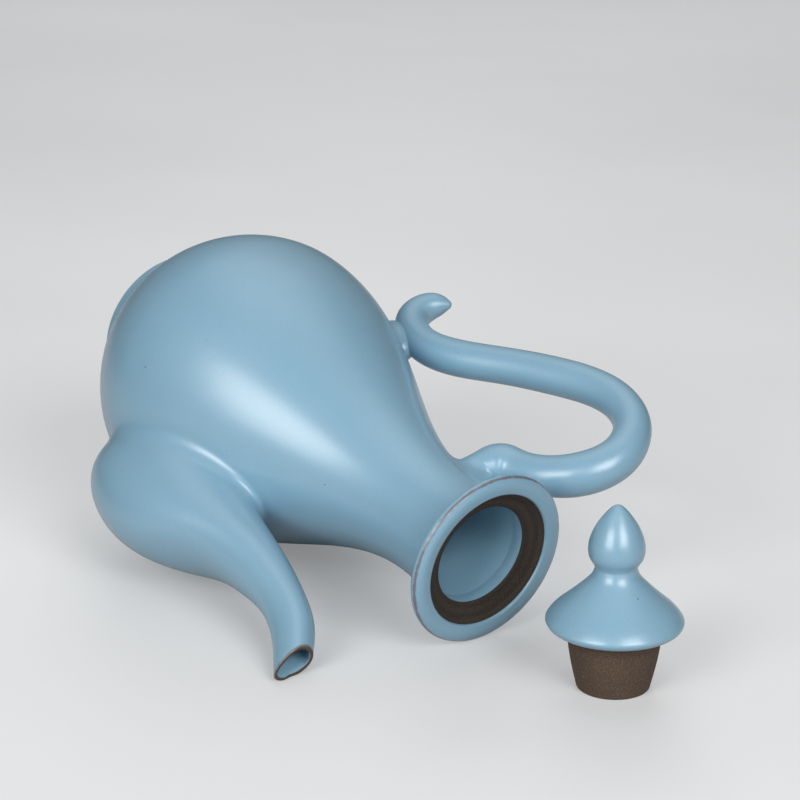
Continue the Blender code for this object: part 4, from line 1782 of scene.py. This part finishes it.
@dataclass
class Lid:
    """Lid that stands on its plug: bare plug, bell-shaped cap and bud-shaped knob."""

    wheel: TurningWheel
    at: Place = (0.1374763, 0.0097743, 0.0)
    steps: int = 160

    # Plug: worn edge of its foot, and inner edge, each out from its radius and up
    plug_top_r: float = 0.0187
    plug_bottom_r: float = 0.0146
    plug_wall: float = 0.0035
    plug_height: float = 0.0226
    plug_belly: float = 0.0004
    plug_edge: Points = ((-0.0009, 0.0), (-0.0003, 0.0002), (0.0, 0.0008))
    plug_inside: Points = ((0.0, 0.0006), (0.0005, 0.0))
    plug_rows: int = 40

    # Hollow under the cap, and its bare cone, which begins out and up from the plug and ends at the edge
    crown: float = 0.013
    crown_rows: int = 14
    cone_start: Points = ((-0.0002, 0.0), (0.0004, 0.0003))
    cone_end: Points = ((-0.0030, -0.0027),)
    cone_rows: int = 8

    # Cap: rolled edge, out and up from where it is widest, and slope, as radius and height
    cap_r: float = 0.0271
    cap_edge_z: float = 0.0279
    cap_edge: Points = ((-0.0028, -0.0027), (-0.0013, -0.0021), (-0.0003, -0.0010), (0.0, 0.0002),
                        (-0.0006, 0.0015))
    cap_slope: Points = ((0.0248, 0.0316), (0.0199, 0.0361), (0.0151, 0.0405), (0.0114, 0.0442),
                         (0.0091, 0.0473))
    cap_thin_reach: float = 0.0006
    cap_thin: float = 0.8

    # Waist and knob: root out and up from the waist, tip up from the top, the rest as radius and height
    waist_r: float = 0.0083
    waist_z: float = 0.0499
    knob_root: Points = ((0.0, 0.0), (0.0003, 0.0009))
    knob_low: Points = ((0.0102, 0.0534),)
    knob_r: float = 0.0111
    knob_z: float = 0.0574
    knob_high: Points = ((0.0108, 0.0604), (0.0098, 0.0636), (0.0081, 0.0672), (0.0058, 0.0706),
                         (0.0040, 0.0729))
    tip_z: float = 0.0755
    knob_tip: Points = ((0.0024, -0.0010), (0.0011, -0.0002), (0.0, 0.0))

    def plug_outline(self) -> Outline:
        """Section of the bare plug, with a worn lower edge.

        Returns:
            The outline, as a ring.
        """
        low, top = self.plug_bottom_r, self.plug_top_r
        worn = self.plug_edge[-1][1]
        outline = Outline().smooth(moved(self.plug_edge, low, 0.0), count=7, bare=WIPED)
        for t in np.linspace(0.0, 1.0, self.plug_rows)[1:]:
            side = low + (top - low) * t + self.plug_belly * sin(pi * t)
            outline.add([(side, worn + (self.plug_height - worn) * t)], bare=WIPED)
        outline.add([(top - self.plug_wall, self.plug_height)], bare=WIPED)
        outline.add(moved(self.plug_inside, low - self.plug_wall, 0.0), bare=WIPED)
        return outline.close()

    def cap_outline(self) -> Outline:
        """Section of the cap: bare hollow and seat cone, rolled glazed edge and slope up to the waist.

        Returns:
            The outline, from axis to axis.
        """
        low = self.plug_height
        hollow = self.plug_top_r - self.plug_wall
        edge = (self.cap_r, self.cap_edge_z)
        outline = Outline()
        for angle in np.linspace(0.0, QUARTER, self.crown_rows):
            outline.add([(hollow * sin(angle), low + self.crown * cos(angle))], bare=WIPED)
        brim, start = moved(self.cone_start, self.plug_top_r, low)
        (end,) = moved(self.cone_end, *edge)
        outline.add([brim], bare=WIPED)
        outline.add(np.linspace(start, end, self.cone_rows), bare=WIPED)
        slope = moved(self.cap_edge, *edge) + [*self.cap_slope, (self.waist_r, self.waist_z)]
        outline.smooth(slope, count=76)
        outline.thin_near(end, self.cap_thin_reach, self.cap_thin)
        return outline.add([(0.0, self.waist_z)])

    def knob_outline(self) -> Outline:
        """Section of the knob: a bud, full below and drawn up to a soft tip.

        Returns:
            The outline, from axis to axis.
        """
        bud = moved(self.knob_root, self.waist_r, self.waist_z) + [*self.knob_low, (self.knob_r, self.knob_z)]
        bud += [*self.knob_high, *moved(self.knob_tip, 0.0, self.tip_z)]
        return Outline().add([(0.0, self.waist_z)]).smooth(bud, count=76)

    def build(self, finishes: Finishes) -> None:
        """Turn the three pieces and stand them beside the mouth.

        Args:
            finishes: material for each slot.
        """
        jobs = (("lid_plug_turned", self.plug_outline(), "lid_plug", Slot.CLAY),
                ("lid_cap_turned", self.cap_outline(), "lid_cap", Slot.LID),
                ("lid_knob_turned", self.knob_outline(), "lid_knob", Slot.LID))
        for name, outline, node, slot in jobs:
            mesh = self.wheel.turn(name, outline, self.steps, finishes[slot])
            set_piece(name, mesh, Matrix.Translation(self.at), Body.LID, node)


@dataclass(frozen=True)
class SoftBox:
    """A soft box with a grid, which faces the pot.

    Args:
        name: name of the lamp.
        at: its place.
        size: width and height.
        power: watts.
        mirrored: whether it shows as a highlight in the glaze.
        grid_angle: angle that the grid lets through, in degrees.
        aim: place that it faces.
    """

    name: str
    at: Place
    size: Pair
    power: float
    mirrored: bool = True
    grid_angle: float = 80.0
    aim: Place = (-0.02, -0.02, 0.06)

    def hang(self) -> None:
        """Make the lamp."""
        data = bpy.data.lights.new(self.name, "AREA")
        data.shape = "RECTANGLE"
        data.size, data.size_y = self.size
        data.energy = self.power
        data.spread = radians(self.grid_angle)
        made = new_object(self.name, data)
        made.location = self.at
        made.rotation_euler = (Vector(self.aim) - Vector(self.at)).to_track_quat("-Z", "Y").to_euler()
        made.visible_glossy = self.mirrored


@dataclass(frozen=True)
class Studio:
    """Plain pale floor, soft light from left, right, above and behind, and the camera of the photograph.

    Args:
        camera_at: place of the camera.
        looks_along: its direction of view.
        focal_px: focal length in pixels of an image as wide as image_px.
        image_px: width of that image.
        sensor: width of the camera's sensor in millimetres.
        clip: nearest and farthest distance that the camera sees.
        floor_size: length of the floor's sides.
        floor_tone: colour of the floor where it is seen.
        floor_clouds: uneven patches per metre.
        cloud_band: noise at which a patch begins, and at which it is full.
        floor_lift: how much lighter its lightest patches are.
        floor_shade: colour of the light that it throws back on the pot.
        floor_glow: light that the camera alone sees in it near the pot.
        far_glow: the same far away, so that the floor runs into the backdrop.
        glow_band: distance at which the one begins to turn into the other, and at which it has.
        floor_roughness: how dull the floor is.
        floor_gloss: how much it mirrors.
        sky_tone: colour of the room.
        sky_fill: its light on the pot.
        sky_shown: how bright the camera sees it.
        boxes: the soft boxes.
    """

    camera_at: Place = (0.77191, -0.57955, 0.3995)
    looks_along: Place = (-0.7556, 0.5766, -0.3107)
    focal_px: float = 2400.0
    image_px: float = 800.0
    sensor: float = 36.0
    clip: Pair = (0.02, 60.0)
    floor_size: float = 9.0
    floor_tone: Colour = (0.56, 0.563, 0.566, 1.0)
    floor_clouds: float = 3.0
    cloud_band: Pair = (0.3, 0.7)
    floor_lift: float = 1.06
    floor_shade: Colour = (0.30, 0.30, 0.30, 1.0)
    floor_glow: Colour = (0.22, 0.222, 0.224, 1.0)
    far_glow: Colour = (0.50, 0.505, 0.51, 1.0)
    glow_band: Pair = (0.9, 2.6)
    floor_roughness: float = 0.75
    floor_gloss: float = 0.2
    sky_tone: Colour = (0.82, 0.84, 0.86, 1.0)
    sky_fill: float = 0.10
    sky_shown: float = 0.70
    boxes: tuple[SoftBox, ...] = (
        SoftBox("left_box", (0.46, -1.50, 0.78), (0.95, 1.05), 4.2),
        SoftBox("right_box", (1.52, -0.26, 0.92), (0.95, 1.05), 4.4),
        SoftBox("top_box", (-0.5, 0.4, 2.2), (2.2, 2.2), 2.4),
        SoftBox("back_box", (-1.45, 1.15, 0.95), (1.4, 1.4), 5.6, mirrored=False))

    def camera(self) -> None:
        """Set up the camera."""
        data = bpy.data.cameras.new("photo_camera")
        data.sensor_width = self.sensor
        data.lens = self.sensor * self.focal_px / self.image_px
        data.clip_start, data.clip_end = self.clip
        made = new_object("photo_camera", data)
        made.location = self.camera_at
        made.rotation_euler = Vector(self.looks_along).to_track_quat("-Z", "Y").to_euler()
        bpy.context.scene.camera = made

    def floor_finish(self) -> bpy.types.Material:
        """Make the floor's material.

        Returns:
            The material.
        """
        finish, sheet, shader = new_material("studio_floor")
        place = sheet.node("ShaderNodeTexCoord")["Object"]
        cloud = sheet.noise(place, self.floor_clouds, 3.0).ease(*self.cloud_band)
        lighter = tuple(min(1.0, part * self.floor_lift) for part in self.floor_tone)
        rays = sheet.node("ShaderNodeLightPath")
        seen = rays["Is Camera Ray"].at_least(rays["Is Glossy Ray"]).at_least(rays["Is Transmission Ray"])
        far = sheet.vector("LENGTH", place, result="Value").ease(*self.glow_band)
        glow = sheet.mix(far, self.floor_glow, self.far_glow)
        sheet.feed(shader, {
            "Base Color": sheet.mix(seen, self.floor_shade, sheet.mix(cloud, self.floor_tone, lighter)),
            "Roughness": self.floor_roughness,
            "Specular IOR Level": self.floor_gloss,
            "Emission Color": sheet.mix(rays["Is Camera Ray"], BLACK, glow),
            "Emission Strength": 1.0,
        })
        return finish

    def floor(self) -> None:
        """Lay the floor."""
        half = 0.5 * self.floor_size
        mesh = bpy.data.meshes.new("studio_floor")
        corners = [(-half, -half, 0.0), (half, -half, 0.0), (half, half, 0.0), (-half, half, 0.0)]
        mesh.from_pydata(corners, [], [(0, 1, 2, 3)])
        mesh.materials.append(self.floor_finish())
        made = new_object("studio_floor", mesh)

    def room(self) -> None:
        """Tone the room, which the camera sees brighter than the light that it gives."""
        world = bpy.data.worlds.new("room")
        bpy.context.scene.world = world
        world.use_nodes = True
        sheet = NodeSheet(world.node_tree)
        seen = sheet.node("ShaderNodeLightPath")["Is Camera Ray"]
        strength = self.sky_fill + seen * (self.sky_shown - self.sky_fill)
        sheet.feed(world.node_tree.nodes["Background"], {"Color": self.sky_tone, "Strength": strength})

    def build(self) -> None:
        """Set up floor, light and camera."""
        bpy.context.scene.view_settings.view_transform = "Standard"
        self.floor()
        for box in self.boxes:
            box.hang()
        self.room()
        self.camera()


def fired_finishes(place: Matrix, lid_at: Vector) -> dict[Slot, bpy.types.Material]:
    """Make the finish for each slot.

    Args:
        place: place of the upright pot in the row frame.
        lid_at: place of the lid.

    Returns:
        One material for each slot.
    """
    clay = ClayTone()
    # Darker copy of the bare clay for the lid seat inside the mouth: painted shade, as the seat lies in
    # shadow there. Its stronger turning rings are real marks.
    shaded_seat_clay = ClayTone(main=(0.040, 0.026, 0.017, 1.0), dark=(0.014, 0.011, 0.007, 1.0),
                         pale=(0.070, 0.048, 0.033, 1.0), grooves=480.0, rings=0.75)
    glaze = SkyGlaze()
    belly_specks = [(place @ Vector((0.0482, -0.0470, 0.0738)), 0.00055),
                    (place @ Vector((0.0450, -0.0244, 0.1232)), 0.00045),
                    (place @ Vector((0.0262, -0.0176, 0.1671)), 0.00050)]
    cap_specks = [(lid_at + Vector((0.0140, -0.0013, 0.0415)), 0.00045)]
    return {
        Slot.BODY: glaze.material("fired_body", clay, belly_specks),
        Slot.FOOT: glaze.material("fired_foot", clay),
        Slot.RIM: glaze.material("fired_mouth", shaded_seat_clay),
        Slot.SPOUT: glaze.material("fired_spout", clay),
        Slot.HANDLE: glaze.material("fired_handle", clay),
        Slot.LID: glaze.material("fired_lid", clay, cap_specks),
        Slot.CLAY: glaze.material("fired_plug", clay),
    }


def main() -> None:
    """Build the object round the frame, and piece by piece."""
    logging.basicConfig(level=logging.INFO, format="%(name)s: %(message)s")
    for old in list(bpy.data.objects):
        bpy.data.objects.remove(old, do_unlink=True)
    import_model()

    form = PotForm()
    place = PotPose().matrix()
    wheel = TurningWheel()
    lid = Lid(wheel)
    finishes = fired_finishes(place, Vector(lid.at))
    spout_seam = Spout(form, place).build(finishes[Slot.SPOUT])
    handle_seam = Handle(form, place).build(CoilTool(form), finishes[Slot.HANDLE])
    pot = ThrownPot(form, wheel, place)
    pot.build(finishes, StrainerTool(), np.concatenate([spout_seam, handle_seam]))
    lid.build(finishes)
    Studio().build()

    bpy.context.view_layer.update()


if __name__ == "__main__":
    main()
